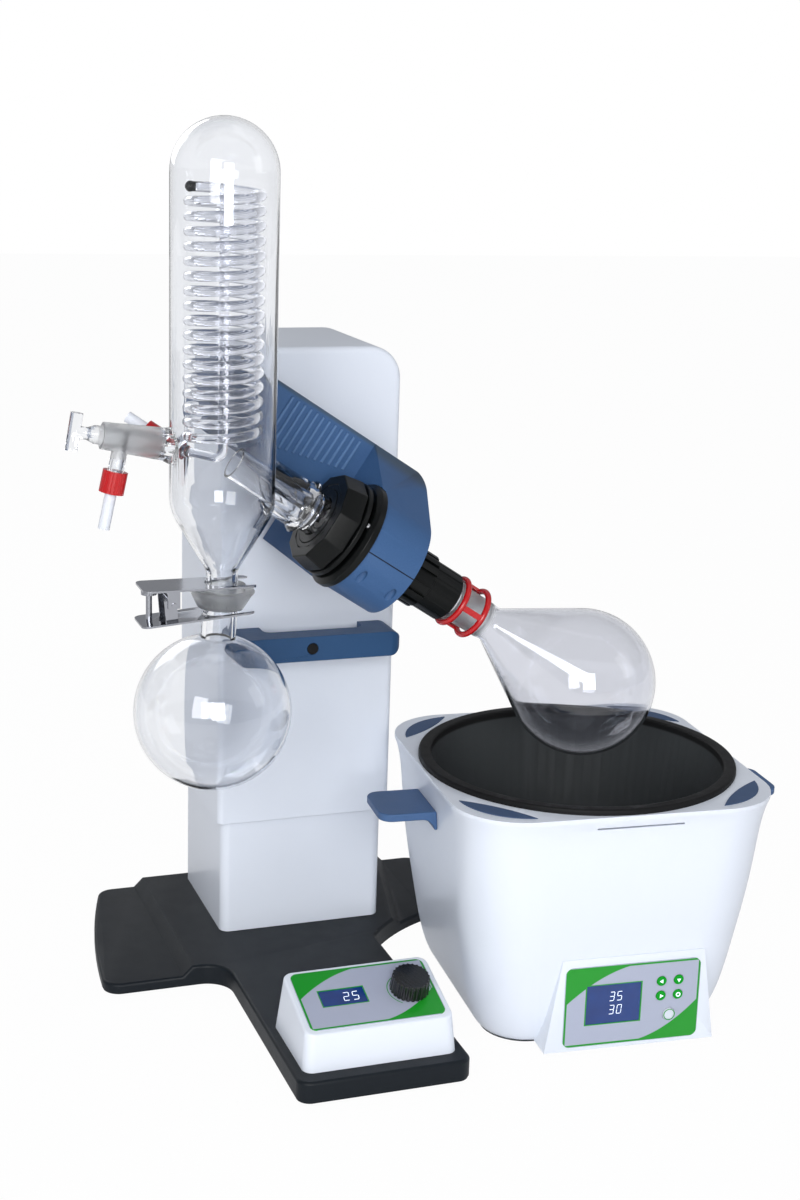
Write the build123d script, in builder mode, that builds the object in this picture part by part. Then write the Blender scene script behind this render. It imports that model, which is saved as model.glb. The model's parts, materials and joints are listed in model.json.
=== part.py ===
# Rotary evaporator: a column with a friction-held lift, a drive head with its glass,
# and a heating bath that stands on its own feet.
# Millimetres. +X right and +Y back as one stands at the control box, +Z up.
# The origin is on the table, below the middle of the column.

import os
from math import acos, atan2, cos, pi, radians, sin, sqrt

from build123d import *

os.makedirs("parts", exist_ok=True)

# Base
FOOT_HEIGHT = 3.0
FOOT_RADIUS = 10.0
FOOT_INSET = 24.0
PLATE_INSET = 1.0
BASE_PLATE = 2.0
WING_HEIGHT = 13.0
BASE_HEIGHT = 22.0
BASE_WALL = 3.5
BASE_EDGE = 3.0
ARM_LEFT = -91.0
ARM_RIGHT = 60.0
ARM_FRONT = -370.0
WING_FRONT = -135.0
WING_LEFT = -203.0
WING_BACK_LEFT = -166.0
WING_RIGHT = 188.0
WING_BACK_RIGHT = 170.0
BASE_BACK = 81.0
WING_BULGE = 7.0
STEP_LEFT = -122.0
STEP_RIGHT_BACK = 126.0
STEP_RIGHT_FRONT = 88.0
BASE_CORNER = 16.0
ARM_CORNER = 12.0
INNER_CORNER = 24.0

# Column: fixed cover, moving sleeve, guide
COVER_WIDTH = 158.0
COVER_DEPTH = 142.0
COVER_TOP = 230.0
COVER_EDGE = 9.0
SHEET = 2.5
SLEEVE_GAP = 2.5
SLEEVE_WALL = 2.5
SLEEVE_BOTTOM = 133.0
SLEEVE_TOP = 577.0
SLEEVE_EDGE = 6.0
SLEEVE_SHOULDER = 30.0
LIFT_DOWN = 72.0
LIFT_UP = 12.0
ROD_RADIUS = 8.0
ROD_SPACING = 90.0
ROD_Y = 12.0
ROD_TOP = 464.0
BUSH_RADIUS = 13.0
BUSH_LENGTH = 26.0
RUNNING = 0.05
BLOCK_WIDTH = 120.0
FOOT_BLOCK = 20.0
BRIDGE_HEIGHT = 12.0
CARRIAGE_BOTTOM = 352.0
CARRIAGE_HEIGHT = 80.0
CARRIAGE_WIDTH = 128.0
CARRIAGE_DEPTH = 46.0
NECK_WIDTH = 92.0
NECK_TOP = 512.0
NECK_PLATE = 14.0
SPRING_BODY_RADIUS = 11.0
SPRING_BODY_TOP = 235.0
SPRING_ROD_RADIUS = 4.0
SPRING_STROKE_SPACE = 10.0
SPRING_ROD_LENGTH = 165.0

# Lift handle and its lock button
HANDLE_HALF = 78.0
HANDLE_BOTTOM = 299.0
HANDLE_HEIGHT = 23.0
HANDLE_BAR = 22.0
HANDLE_GAP = 19.0
HANDLE_POST = 31.0
HANDLE_EDGE = 2.5
LOCK_X = -8.0
LOCK_RADIUS = 5.0
LOCK_TRAVEL = 3.0
LOCK_PROUD = 0.5
LOCK_LENGTH = 9.0
LOCK_CAVITY = 6.5
LOCK_BORE = 3.2
LOCK_SPRING_WIRE = 0.4
LOCK_SPRING_TURNS = 4

# Drive axis: runs through the flask's middle, up to the left at DRIVE_TILT
DRIVE_TILT = 33.0
FLASK_X = 208.2
GLASS_Y = -226.0
FLASK_Z = 296.5

# Distances along the drive axis, from the flask's middle
HEAD_END = 213.0
HEAD_START = 264.2
FLANGE_SEAT = 260.5
MOTOR_HOUSING_END = 408.0
FLANGE_FACE = 269.0
NUT_FACE = 296.4
KNOB_END = 156.0
CLIP_NEAR = 150.0
CLIP_FAR = 128.0

# Head cross-section, from the drive axis: forward to the user, and up
HEAD_RADIUS = 46.0
HEAD_UP = 77.0
HEAD_BACK = -136.0
HEAD_FRONT = -48.0
HEAD_WALL = 3.0
HEAD_EDGE = 4.0
SEAM = -2.0
MOTOR_FLOOR = 8.0
RIB_COUNT = 12
RIB_PITCH = 6.5
RIB_WIDTH = 2.8
RIB_PROUD = 1.8
RIB_FIRST = 282.0
RIB_TOP = 72.0
RIB_BOTTOM_FIRST = 43.0
RIB_BOTTOM_LAST = 26.0
RIB_DRAFT = 20.0
HEAD_SLANT = 0.09
HEAD_TOP_CORNER = 10.0
BRACKET_START = 222.0
BRACKET_LENGTH = 80.0
BRACKET_LOW = 12.0
BRACKET_HIGH = 66.0

# Drive train
SHAFT_RADIUS = 15.0
SHAFT_BORE = 12.5
BEARING_RADIUS = 23.5
CHEEK = 9.0
CHEEK_NEAR = 219.0
CHEEK_FAR = 248.0
BELT_WIDTH = 10.0
BELT_THICK = 2.0
BELT_GAP = 0.3
SHAFT_TEETH = 45
MOTOR_TEETH = 15
TOOTH_PITCH = 5.0
MOTOR_RADIUS = 29.0
MOTOR_LENGTH = 86.0
MOTOR_SIDE = -92.0
MOTOR_HIGH = 41.0
MOTOR_SHAFT = 4.0
CHEEK_RADIUS = 30.0
CHEEK_WALL = 5.0
PULLEY_RIM = 1.0
TOOTH_DEPTH = 1.4
SCREW_SHANK = 2.0
SCREW_HEAD = 3.4
SCREW_BOSS = 5.5
SCREW_LENGTH = 16.0
SCREW_HEAD_HEIGHT = 3.0
COVER_SCREWS = (220.5, 251.0)
SCREW_FORWARD = 39.5
SCREW_LEVEL = -13.0

# Coupling at the condenser end
FLANGE_RADIUS = 47.8
FLANGE_RIM = 266.0
FLANGE_STEP = 43.5
HUB_RADIUS = 28.0
HUB_BORE = 16.0
HUB_END = 287.0
NUT_START = 272.0
NUT_LARGE = 43.5
NUT_SMALL = 39.7
NUT_FLATS = 10
NUT_WALL = 8.0
NUT_MOUTH = 25.5
GLASS_RIM = 24.5
GLASS_RIM_THICK = 5.0
DUCT_RADIUS = 12.0
DUCT_WALL = 2.0
DUCT_END = 290.0
SHAFT_START = 158.0
SHAFT_END = 268.0
SEAL_LENGTH = 17.0

# Knob, clip and evaporating flask
KNOB_RADIUS = 24.6
KNOB_NOSE = 22.0
KNOB_START = 211.0
KNOB_STEP = 184.0
KNOB_FLUTES = 16
KNOB_FLUTE = 1.5
CLIP_RADIUS = 21.0
CLIP_WIRE = 2.6
CLIP_BARS = 3
FLASK_RADIUS = 65.5
FLASK_WALL = 2.0
NECK_RADIUS = 16.5
NECK_END = 152.0
NECK_START = 108.0
NECK_FOOT = 15.5
NECK_RIM = 18.2
NECK_RIM_LENGTH = 4.0
GROUND_LARGE = 14.6
GROUND_SMALL = 12.9
GROUND_LENGTH = 34.0

# Condenser
CONDENSER_X = -121.5
JACKET_RADIUS = 43.0
JACKET_TOP = 776.0
JACKET_BOTTOM = 467.0
GLASS_WALL = 2.2
CONE_END = 416.0
OUTLET_RADIUS = 13.0
OUTLET_BORE = 9.0
ARM_RADIUS = 20.5
ARM_BEAD = 24.3
ARM_BEAD_AT = 312.0
ARM_NECK = 18.0
TUBE_RADIUS = 13.5
TUBE_OPEN_END = 382.0
COIL_RADIUS = 28.5
COIL_TUBE = 3.9
COIL_PITCH = 11.5
COIL_TURNS = 17
COIL_BOTTOM = 526.0
COIL_BEND = 9.0
COIL_BEAD = 4.4
TUBE_START = 302.0
BALL_Z = 404.0
BALL_RADIUS = 19.5
JOINT_GAP = 0.3

# Receiving flask, hanging a little askew in the ball joint
RECEIVER_TILT = 3.6
RECEIVER_DROP = 108.5
RECEIVER_RADIUS = 65.5
RECEIVER_NECK = 14.5
RECEIVER_BORE = 10.5
CUP_RIM = 27.2
CUP_FOOT = 19.0
CUP_DEPTH = 19.0
CUP_LIP = 2.0

# Fork clamp
FORK_SHEET = 1.6
FORK_WIDTH = 38.0
FORK_SLOT = 14.2
FORK_REACH = 25.5
FORK_TAIL = 68.5
FORK_TILT = 4.7
LUG_DEPTH = 13.0
LUG_HALF = 5.0
LUG_SPREAD = 14.0
CLAMP_SCREW_AT = 60.5
CLAMP_SCREW_RADIUS = 2.5
CLAMP_PIN_AT = 43.0
CLAMP_PIN_RADIUS = 2.0
CLAMP_PIN_DROP = 12.0
CLAMP_NUT_RADIUS = 6.5
CLAMP_NUT_HEIGHT = 5.0
CLAMP_NUT_KNURLS = 18

# Vacuum stopcock
COCK_START = (-170.0, 521.5)
COCK_TILT = 9.5
COCK_BARREL_LENGTH = 50.0
COCK_BARREL = 13.2
COCK_SMALL_END = 10.8
COCK_BORE = 7.5
COCK_BORE_SMALL = 6.0
COCK_ROOT = 15.0
PLUG_REACH = 12.0
PLUG_GRIP = 72.0
GRIP_LENGTH = 30.0
GRIP_RADIUS = 5.0
BRANCH_AT = 33.5
BRANCH_TILT = 12.0
BRANCH_RADIUS = 6.3
BRANCH_BORE = 4.0
CAP_AT = 26.4
CAP_RADIUS = 10.0
CAP_LENGTH = 18.0
CAP_RIBS = 20
HOSE_RADIUS = 4.7
HOSE_BORE = 2.8
HOSE_END = 74.0

# Cooling water connections: direction, height at the jacket, rise
WATER_PORTS = ((150.0, 515.0, 30.0), (118.0, 508.0, 0.0))
PORT_RADIUS = 5.0
PORT_LENGTH = 12.0
PORT_CAP_RADIUS = 8.0
PORT_CAP_LENGTH = 15.0
PORT_HOSE_END = 45.0

# Control box on the front arm
BOX_X = -15.5
BOX_HALF = 67.0
BOX_TOP_HALF = 64.5
BOX_FRONT = -355.0
BOX_BACK = -262.0
BOX_TOP_FRONT = (-350.5, 53.5)
BOX_TOP_BACK = (-275.5, 75.3)
BOX_WALL = 3.0
PANEL_WIDTH = 119.0
PANEL_LENGTH = 69.0
PANEL_THICK = 0.8
PANEL_CORNER = 7.0
SPEED_X = 37.0
SPEED_Y = -0.5
SPEED_KNOB_RADIUS = 17.0
SPEED_KNOB_HEIGHT = 14.0
KNOB_RIDGES = 24
RIDGE_RADIUS = 1.0
KNOB_DRAFT = 4.0
SPINDLE_RADIUS = 3.0
POT_RADIUS = 12.0
POT_HEIGHT = 10.0
DISPLAY = (-21.5, 0.5, 39.0, 18.6)
DISPLAY_DEPTH = 2.0
BOX_CORNER = 9.0
BOX_EDGE = 2.5

# Heating bath, turned a little on the table
BATH_X = 207.5
BATH_Y = -226.0
BATH_TURN = -4.5
BATH_FOOT = 3.0
BATH_FOOT_RADIUS = 9.0
BATH_FOOT_PLACE = 72.0
BATH_PLATE = 2.0
# height, half width and corner radius of the housing, from the foot to the brim
BATH_SECTIONS = (
    (5.0, 101.0, 38.0),
    (16.0, 109.0, 44.0),
    (52.0, 120.0, 50.0),
    (98.0, 128.0, 55.0),
    (150.0, 135.0, 58.0),
    (224.0, 145.5, 60.0),
)
BATH_WALL = 3.5
BRIM_EDGE = 3.5
RIM_RADIUS = 142.0
RIM_WIDTH = 11.0
RIM_PROUD = 5.0
RIM_EDGE = 2.2
BASIN_WALL = 2.0
BASIN_CLEAR = 1.5
BASIN_FLOOR = 98.0
BASIN_CORNER = 32.0
BASIN_FOOT = 121.0
PAD_INNER = 150.0
PAD_OUTER = 168.0
PAD_THICK = 1.6
PAD_PROUD = 0.6
PAD_ANGLE = 27.0
NEST_RADIUS = 184.0
SLIT_LENGTH = 78.0
SLIT_X = 6.5
SLIT_Z = 213.0
SLIT_HEIGHT = 1.6
BATH_HANDLE_TOP = 194.0
BATH_HANDLE_REACH = 188.0
BATH_HANDLE_WIDTH = 60.0
BATH_HANDLE_THICK = 7.0
BATH_HANDLE_ROOT = 17.0
BATH_HANDLE_ROOT_THICK = 9.0
BATH_HANDLE_CORNER = 12.0
HEATER_RADIUS = 92.0
HEATER_THICK = 8.0
MODULE_X = 14.0
MODULE_FACE = 128.0
MODULE_BACK = 90.0
MODULE_FOOT_HALF = 78.0
MODULE_HALF = 65.0
MODULE_TOP = 90.0
MODULE_EDGE = 3.0
BATH_PANEL = (124.0, 74.0)
BATH_PANEL_Z = 45.8
BATH_DISPLAY = (-17.3, 1.0, 49.5, 36.0)
KEY_RADIUS = 4.4
MENU_RADIUS = 5.6
KEY_TRAVEL = 0.5
KEY_PROUD = 0.7
KEY_LENGTH = 3.5
KEY_GAP = 0.3
KEYS = {
    "up": (26.2, 17.9, KEY_RADIUS),
    "left": (42.0, 17.9, KEY_RADIUS),
    "down": (26.2, 4.2, KEY_RADIUS),
    "enter": (42.0, 4.2, KEY_RADIUS),
    "menu": (34.8, -14.0, MENU_RADIUS),
}

# Directions and planes that the pieces are placed by
TILT = radians(DRIVE_TILT)
ALONG = Vector(-cos(TILT), 0, sin(TILT))
ABOVE = Vector(sin(TILT), 0, cos(TILT))
FLASK_CENTRE = Vector(FLASK_X, GLASS_Y, FLASK_Z)
DRIVE = Plane(origin=FLASK_CENTRE, x_dir=ALONG, z_dir=(0, 1, 0))
DRIVE_AXIS = Axis(FLASK_CENTRE, ALONG)
CONDENSER = Plane(origin=(CONDENSER_X, GLASS_Y, 0), x_dir=(1, 0, 0), z_dir=(0, -1, 0))
CONDENSER_AXIS = Axis((CONDENSER_X, GLASS_Y, 0), (0, 0, 1))
BALL_CENTRE = Vector(CONDENSER_X, GLASS_Y, BALL_Z)
HANG = radians(RECEIVER_TILT)
RECEIVER = Plane(origin=BALL_CENTRE, x_dir=(cos(HANG), 0, -sin(HANG)), z_dir=(0, -1, 0))
RECEIVER_AXIS = Axis(BALL_CENTRE, (sin(HANG), 0, cos(HANG)))
BATH = Plane(
    origin=(BATH_X, BATH_Y, 0),
    x_dir=(cos(radians(BATH_TURN)), sin(radians(BATH_TURN)), 0),
    z_dir=(0, 0, 1),
)
BATH_AXIS = Axis((BATH_X, BATH_Y, 0), (0, 0, 1))

SLEEVE_WIDTH = COVER_WIDTH + 2 * (SLEEVE_GAP + SLEEVE_WALL)
SLEEVE_DEPTH = COVER_DEPTH + 2 * (SLEEVE_GAP + SLEEVE_WALL)
SLEEVE_FRONT = -SLEEVE_DEPTH / 2
BASE_UNDERSIDE = FOOT_HEIGHT + BASE_PLATE
BELT_MIDDLE = (CHEEK_NEAR + CHEEK + CHEEK_FAR) / 2
SHAFT_PULLEY = SHAFT_TEETH * TOOTH_PITCH / (2 * pi)
MOTOR_PULLEY = MOTOR_TEETH * TOOTH_PITCH / (2 * pi)


def cross(along, side=0.0, up=0.0):
    """Plane across the drive axis: X to the user, Y up, Z along the axis to the condenser."""
    origin = FLASK_CENTRE + ALONG * along + ABOVE * up - Vector(0, 1, 0) * side
    return Plane(origin=origin, x_dir=(0, -1, 0), z_dir=ALONG)


def finish(builder, name):
    """Label a finished piece and write it."""
    builder.part.label = name
    export_step(builder.part, f"parts/{name}.step")


def nearest_vertex(sketch, x, y):
    """The corner of a sketch that lies nearest to a point."""
    return min(sketch.vertices(), key=lambda v: (v.X - x) ** 2 + (v.Y - y) ** 2)


# Base

def nest_y(x):
    """Front edge of the right wing: an arc that leaves room round the bath."""
    return BATH_Y + sqrt(NEST_RADIUS**2 - (x - BATH_X) ** 2)


nest_start = (ARM_RIGHT, nest_y(ARM_RIGHT))
nest_middle_x = (ARM_RIGHT + WING_RIGHT) / 2
nest_end = (WING_RIGHT, nest_y(WING_RIGHT))
right_side = ((WING_RIGHT + WING_BACK_RIGHT) / 2 + WING_BULGE / 2, (nest_end[1] + BASE_BACK) / 2)
left_side = ((WING_LEFT + WING_BACK_LEFT) / 2 - WING_BULGE, (WING_FRONT + BASE_BACK) / 2)

with BuildSketch() as base_plan:
    with BuildLine():
        Polyline(
            (WING_LEFT, WING_FRONT),
            (ARM_LEFT, WING_FRONT),
            (ARM_LEFT, ARM_FRONT),
            (ARM_RIGHT, ARM_FRONT),
            nest_start,
        )
        ThreePointArc(nest_start, (nest_middle_x, nest_y(nest_middle_x)), nest_end)
        ThreePointArc(nest_end, right_side, (WING_BACK_RIGHT, BASE_BACK))
        Line((WING_BACK_RIGHT, BASE_BACK), (WING_BACK_LEFT, BASE_BACK))
        ThreePointArc((WING_BACK_LEFT, BASE_BACK), left_side, (WING_LEFT, WING_FRONT))
    make_face()
    for corner, radius in (
        ((WING_LEFT, WING_FRONT), BASE_CORNER),
        ((ARM_LEFT, WING_FRONT), INNER_CORNER),
        ((ARM_LEFT, ARM_FRONT), ARM_CORNER),
        ((ARM_RIGHT, ARM_FRONT), ARM_CORNER),
        (nest_start, ARM_CORNER),
        (nest_end, BASE_CORNER),
        ((WING_BACK_RIGHT, BASE_BACK), BASE_CORNER),
        ((WING_BACK_LEFT, BASE_BACK), BASE_CORNER),
    ):
        fillet(nearest_vertex(base_plan, *corner), radius)

drop = BASE_HEIGHT - WING_HEIGHT
step_foot = Vector(STEP_RIGHT_FRONT, nest_y(STEP_RIGHT_FRONT))
right_step = (Vector(STEP_RIGHT_BACK, BASE_BACK) - step_foot).normalized()
step_planes = (
    Plane(origin=(STEP_LEFT, 0, 0), x_dir=(-1, 0, 0), z_dir=(0, 1, 0)),
    Plane(origin=(STEP_RIGHT_BACK, BASE_BACK, 0), x_dir=(right_step.Y, -right_step.X, 0), z_dir=-right_step),
)
with BuildPart() as base_housing:
    with BuildSketch(Plane.XY.offset(BASE_UNDERSIDE)):
        add(base_plan.sketch)
    extrude(amount=BASE_HEIGHT - BASE_UNDERSIDE)
    for plane in step_planes:
        with BuildSketch(plane):
            Polygon(
                (0, BASE_HEIGHT + drop),
                (0, BASE_HEIGHT),
                (drop, WING_HEIGHT),
                (-WING_LEFT, WING_HEIGHT),
                (-WING_LEFT, BASE_HEIGHT + drop),
            )
        extrude(amount=-2 * WING_FRONT, both=True, mode=Mode.SUBTRACT)
    top_edges = [edge for face in base_housing.faces() if face.normal_at().Z > 0.3 for edge in face.edges()]
    fillet([edge for edge in top_edges if top_edges.count(edge) == 1], BASE_EDGE)
    with BuildSketch(Plane.XY.offset(BASE_UNDERSIDE)):
        add(base_plan.sketch)
        offset(amount=-BASE_WALL, mode=Mode.REPLACE)
    extrude(amount=WING_HEIGHT - BASE_WALL - BASE_UNDERSIDE, mode=Mode.SUBTRACT)
finish(base_housing, "base_housing")

with BuildPart() as base_bottom_plate:
    with BuildSketch(Plane.XY.offset(FOOT_HEIGHT)):
        add(base_plan.sketch)
        offset(amount=-PLATE_INSET, mode=Mode.REPLACE)
    extrude(amount=BASE_PLATE)
finish(base_bottom_plate, "base_bottom_plate")

foot_places = (
    (0, 0),
    (WING_LEFT + FOOT_INSET, WING_FRONT + FOOT_INSET),
    (WING_BACK_LEFT + FOOT_INSET, BASE_BACK - FOOT_INSET),
    (WING_BACK_RIGHT - FOOT_INSET, BASE_BACK - FOOT_INSET),
    (WING_RIGHT - FOOT_INSET, nest_end[1] + FOOT_INSET),
    (ARM_LEFT + FOOT_INSET, ARM_FRONT + FOOT_INSET),
    (ARM_RIGHT - FOOT_INSET, ARM_FRONT + FOOT_INSET),
)
with BuildPart() as base_feet:
    with BuildSketch():
        with Locations(*foot_places):
            Circle(FOOT_RADIUS)
    extrude(amount=FOOT_HEIGHT)
finish(base_feet, "base_feet")


# Column: the fixed cover, the guide inside it, and the sleeve that the carriage moves

with BuildPart() as column_cover:
    with BuildSketch(Plane.XY.offset(BASE_HEIGHT)):
        RectangleRounded(COVER_WIDTH, COVER_DEPTH, COVER_EDGE)
        offset(amount=-SHEET, mode=Mode.SUBTRACT)
    extrude(amount=COVER_TOP - BASE_HEIGHT)
finish(column_cover, "column_cover")

rod_places = ((-ROD_SPACING / 2, ROD_Y), (ROD_SPACING / 2, ROD_Y))
with BuildPart() as rod_blocks:
    for level, height in ((BASE_HEIGHT, FOOT_BLOCK), (ROD_TOP - BRIDGE_HEIGHT, BRIDGE_HEIGHT)):
        with BuildSketch(Plane.XY.offset(level)):
            with Locations((0, ROD_Y)):
                Rectangle(BLOCK_WIDTH, CARRIAGE_DEPTH)
            with Locations(*rod_places):
                Circle(ROD_RADIUS, mode=Mode.SUBTRACT)
        extrude(amount=height)
finish(rod_blocks, "rod_blocks")

with BuildPart() as guide_rods:
    with BuildSketch(Plane.XY.offset(BASE_HEIGHT)):
        with Locations(*rod_places):
            Circle(ROD_RADIUS)
    extrude(amount=ROD_TOP - BASE_HEIGHT)
finish(guide_rods, "guide_rods")

spring_rod_bottom = CARRIAGE_BOTTOM - SPRING_ROD_LENGTH
with BuildPart() as gas_spring_body:
    with BuildSketch(Plane.XY.offset(BASE_HEIGHT + FOOT_BLOCK)):
        with Locations((0, ROD_Y)):
            Circle(SPRING_BODY_RADIUS)
    extrude(amount=SPRING_BODY_TOP - BASE_HEIGHT - FOOT_BLOCK)
    with BuildSketch(Plane.XY.offset(SPRING_BODY_TOP)):
        with Locations((0, ROD_Y)):
            Circle(SPRING_ROD_RADIUS + RUNNING)
    bore = SPRING_BODY_TOP - spring_rod_bottom + LIFT_DOWN + SPRING_STROKE_SPACE
    extrude(amount=-bore, mode=Mode.SUBTRACT)
finish(gas_spring_body, "gas_spring_body")

with BuildPart() as gas_spring_rod:
    with BuildSketch(Plane.XY.offset(spring_rod_bottom)):
        with Locations((0, ROD_Y)):
            Circle(SPRING_ROD_RADIUS)
    extrude(amount=SPRING_ROD_LENGTH)
finish(gas_spring_rod, "gas_spring_rod")


def bracket_outline(inset):
    """The bracket's face against the head, drawn in by inset, on a plane of the drive."""
    with BuildSketch(DRIVE.offset(-HEAD_BACK)) as sketch:
        with Locations((BRACKET_START + BRACKET_LENGTH / 2, (BRACKET_LOW + BRACKET_HIGH) / 2)):
            RectangleRounded(BRACKET_LENGTH - 2 * inset, BRACKET_HIGH - BRACKET_LOW - 2 * inset, BOX_CORNER)
    return sketch.sketch


neck_back = ROD_Y - CARRIAGE_DEPTH / 2
neck_face = SLEEVE_FRONT + SLEEVE_WALL
bracket_depth = neck_face - GLASS_Y + HEAD_BACK
with BuildPart() as carriage:
    with BuildSketch(Plane.XY.offset(CARRIAGE_BOTTOM)):
        with Locations((0, ROD_Y)):
            Rectangle(CARRIAGE_WIDTH, CARRIAGE_DEPTH)
        with Locations((0, (neck_back + neck_face) / 2)):
            Rectangle(NECK_WIDTH, neck_back - neck_face)
        with Locations(*rod_places):
            Circle(BUSH_RADIUS, mode=Mode.SUBTRACT)
    extrude(amount=CARRIAGE_HEIGHT)
    with BuildSketch(Plane.XY.offset(CARRIAGE_BOTTOM)):
        with Locations((0, neck_face + NECK_PLATE / 2)):
            Rectangle(NECK_WIDTH, NECK_PLATE)
    extrude(amount=NECK_TOP - CARRIAGE_BOTTOM)
    extrude(bracket_outline(0), amount=bracket_depth, dir=(0, 1, 0))
finish(carriage, "carriage")

with BuildPart() as guide_bushes:
    for level in (CARRIAGE_BOTTOM, CARRIAGE_BOTTOM + CARRIAGE_HEIGHT - BUSH_LENGTH):
        with BuildSketch(Plane.XY.offset(level)):
            with Locations(*rod_places):
                Circle(BUSH_RADIUS)
                Circle(ROD_RADIUS + RUNNING, mode=Mode.SUBTRACT)
        extrude(amount=BUSH_LENGTH)
finish(guide_bushes, "guide_bushes")


def sleeve_form(inset):
    """The sleeve's outer form, drawn in by inset, standing below its lower edge."""
    with BuildPart() as form:
        with BuildSketch(Plane.XZ) as front:
            with Locations((0, (SLEEVE_TOP + SLEEVE_BOTTOM) / 2 - inset / 2)):
                Rectangle(SLEEVE_WIDTH - 2 * inset, SLEEVE_TOP - SLEEVE_BOTTOM - inset)
            fillet(front.vertices().group_by(Axis.Y)[-1], SLEEVE_SHOULDER - inset)
        extrude(amount=SLEEVE_DEPTH / 2 - inset, both=True)
        rim = [edge for face in form.faces().filter_by(Axis.Y) for edge in face.edges()]
        fillet([edge for edge in rim if edge.center().Z > SLEEVE_BOTTOM + 1], SLEEVE_EDGE - inset)
    return form.part


sleeve_outside = sleeve_form(0)
sleeve_inside = sleeve_form(SLEEVE_WALL)
with BuildPart() as column_sleeve:
    add(sleeve_outside)
    add(sleeve_inside, mode=Mode.SUBTRACT)
    extrude(bracket_outline(-JOINT_GAP), amount=bracket_depth, dir=(0, 1, 0), mode=Mode.SUBTRACT)
finish(column_sleeve, "column_sleeve")


# Lift handle on the sleeve, with its lock button

handle_front = SLEEVE_FRONT - HANDLE_GAP - HANDLE_BAR
with BuildPart() as lift_handle:
    with BuildSketch(Plane.XY.offset(HANDLE_BOTTOM)) as plan:
        with Locations((0, (SLEEVE_FRONT + handle_front) / 2)):
            RectangleRounded(2 * HANDLE_HALF, SLEEVE_FRONT - handle_front, HANDLE_BAR / 2)
        with Locations((0, SLEEVE_FRONT)):
            Rectangle(2 * HANDLE_HALF, HANDLE_BAR, align=(Align.CENTER, Align.MAX))
        with Locations((0, SLEEVE_FRONT)):
            gap = 2 * (HANDLE_HALF - HANDLE_POST)
            Rectangle(gap, HANDLE_GAP, align=(Align.CENTER, Align.MAX), mode=Mode.SUBTRACT)
        gap_back = SLEEVE_FRONT - HANDLE_GAP
        gap_corners = plan.vertices().filter_by_position(Axis.Y, gap_back - 0.1, gap_back + 0.1)
        fillet(gap_corners.sort_by(lambda v: abs(v.X))[:2], HANDLE_EDGE * 3)
    extrude(amount=HANDLE_HEIGHT)
    with BuildSketch(Plane.XZ.offset(-SLEEVE_FRONT)):
        with Locations((0, HANDLE_BOTTOM + HANDLE_HEIGHT / 2)):
            SlotOverall(2 * HANDLE_HALF, HANDLE_HEIGHT)
    extrude(amount=HANDLE_GAP + HANDLE_BAR, mode=Mode.INTERSECT)
    with BuildSketch(Plane.XZ.offset(-handle_front)):
        with Locations((LOCK_X, HANDLE_BOTTOM + HANDLE_HEIGHT / 2)):
            Circle(LOCK_RADIUS + JOINT_GAP)
    extrude(amount=-(LOCK_LENGTH + LOCK_TRAVEL + 1 - LOCK_PROUD), mode=Mode.SUBTRACT)
finish(lift_handle, "lift_handle")

lock_place = (LOCK_X, HANDLE_BOTTOM + HANDLE_HEIGHT / 2)
with BuildPart() as lock_button:
    with BuildSketch(Plane.XZ.offset(-handle_front + LOCK_PROUD)):
        with Locations(lock_place):
            Circle(LOCK_RADIUS)
    extrude(amount=-LOCK_LENGTH)
    chamfer(lock_button.faces().sort_by(Axis.Y)[0].edges(), LOCK_PROUD / 2)
    with BuildSketch(Plane.XZ.offset(-handle_front + LOCK_PROUD - LOCK_LENGTH)):
        with Locations(lock_place):
            Circle(LOCK_BORE)
    extrude(amount=LOCK_CAVITY, mode=Mode.SUBTRACT)
finish(lock_button, "lock_button")

lock_seat = handle_front + LOCK_LENGTH + LOCK_TRAVEL + 1 - LOCK_PROUD
spring_radius = LOCK_BORE - JOINT_GAP - LOCK_SPRING_WIRE
spring_length = LOCK_CAVITY + 1 - JOINT_GAP - 2 * LOCK_SPRING_WIRE
with BuildPart() as lock_spring:
    with BuildLine() as path:
        Helix(
            pitch=spring_length / LOCK_SPRING_TURNS,
            height=spring_length,
            radius=spring_radius,
            center=(LOCK_X, lock_seat - LOCK_SPRING_WIRE, HANDLE_BOTTOM + HANDLE_HEIGHT / 2),
            direction=(0, -1, 0),
        )
    with BuildSketch(Plane(path.line @ 0, z_dir=path.line % 0)):
        RegularPolygon(LOCK_SPRING_WIRE, 6)
    sweep(is_frenet=True)
finish(lock_spring, "lock_spring")


# Head: a moulded housing in two covers, split along the drive axis

def head_form(inset, gear_end):
    """The head's form drawn in by inset: a gear case round the shaft and a motor case behind it."""
    with BuildPart() as form:
        with BuildSketch(cross(HEAD_END + inset)):
            with BuildLine():
                CenterArc((0, 0), HEAD_RADIUS - inset, 0, 360)
                Line((HEAD_BACK + inset, HEAD_UP - inset), (HEAD_FRONT - inset, HEAD_UP - inset))
                Line((HEAD_BACK + inset, inset - HEAD_RADIUS), (HEAD_BACK + inset, 0))
            make_hull()
        extrude(amount=2 * (HEAD_START - HEAD_END))
        split(bisect_by=gear_end, keep=Keep.BOTTOM)
        with BuildSketch(cross(HEAD_END + inset)):
            with Locations(((HEAD_BACK + HEAD_FRONT) / 2, (MOTOR_FLOOR + HEAD_UP) / 2)):
                Rectangle(HEAD_FRONT - HEAD_BACK - 2 * inset, HEAD_UP - MOTOR_FLOOR - 2 * inset)
        extrude(amount=MOTOR_HOUSING_END - HEAD_END - 2 * inset)
    return form.part


def along_shaft(start, end, radius):
    """A round space about the drive axis."""
    with BuildPart() as space:
        with BuildSketch(cross(start)):
            Circle(radius)
        extrude(amount=end - start)
    return space.part


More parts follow.
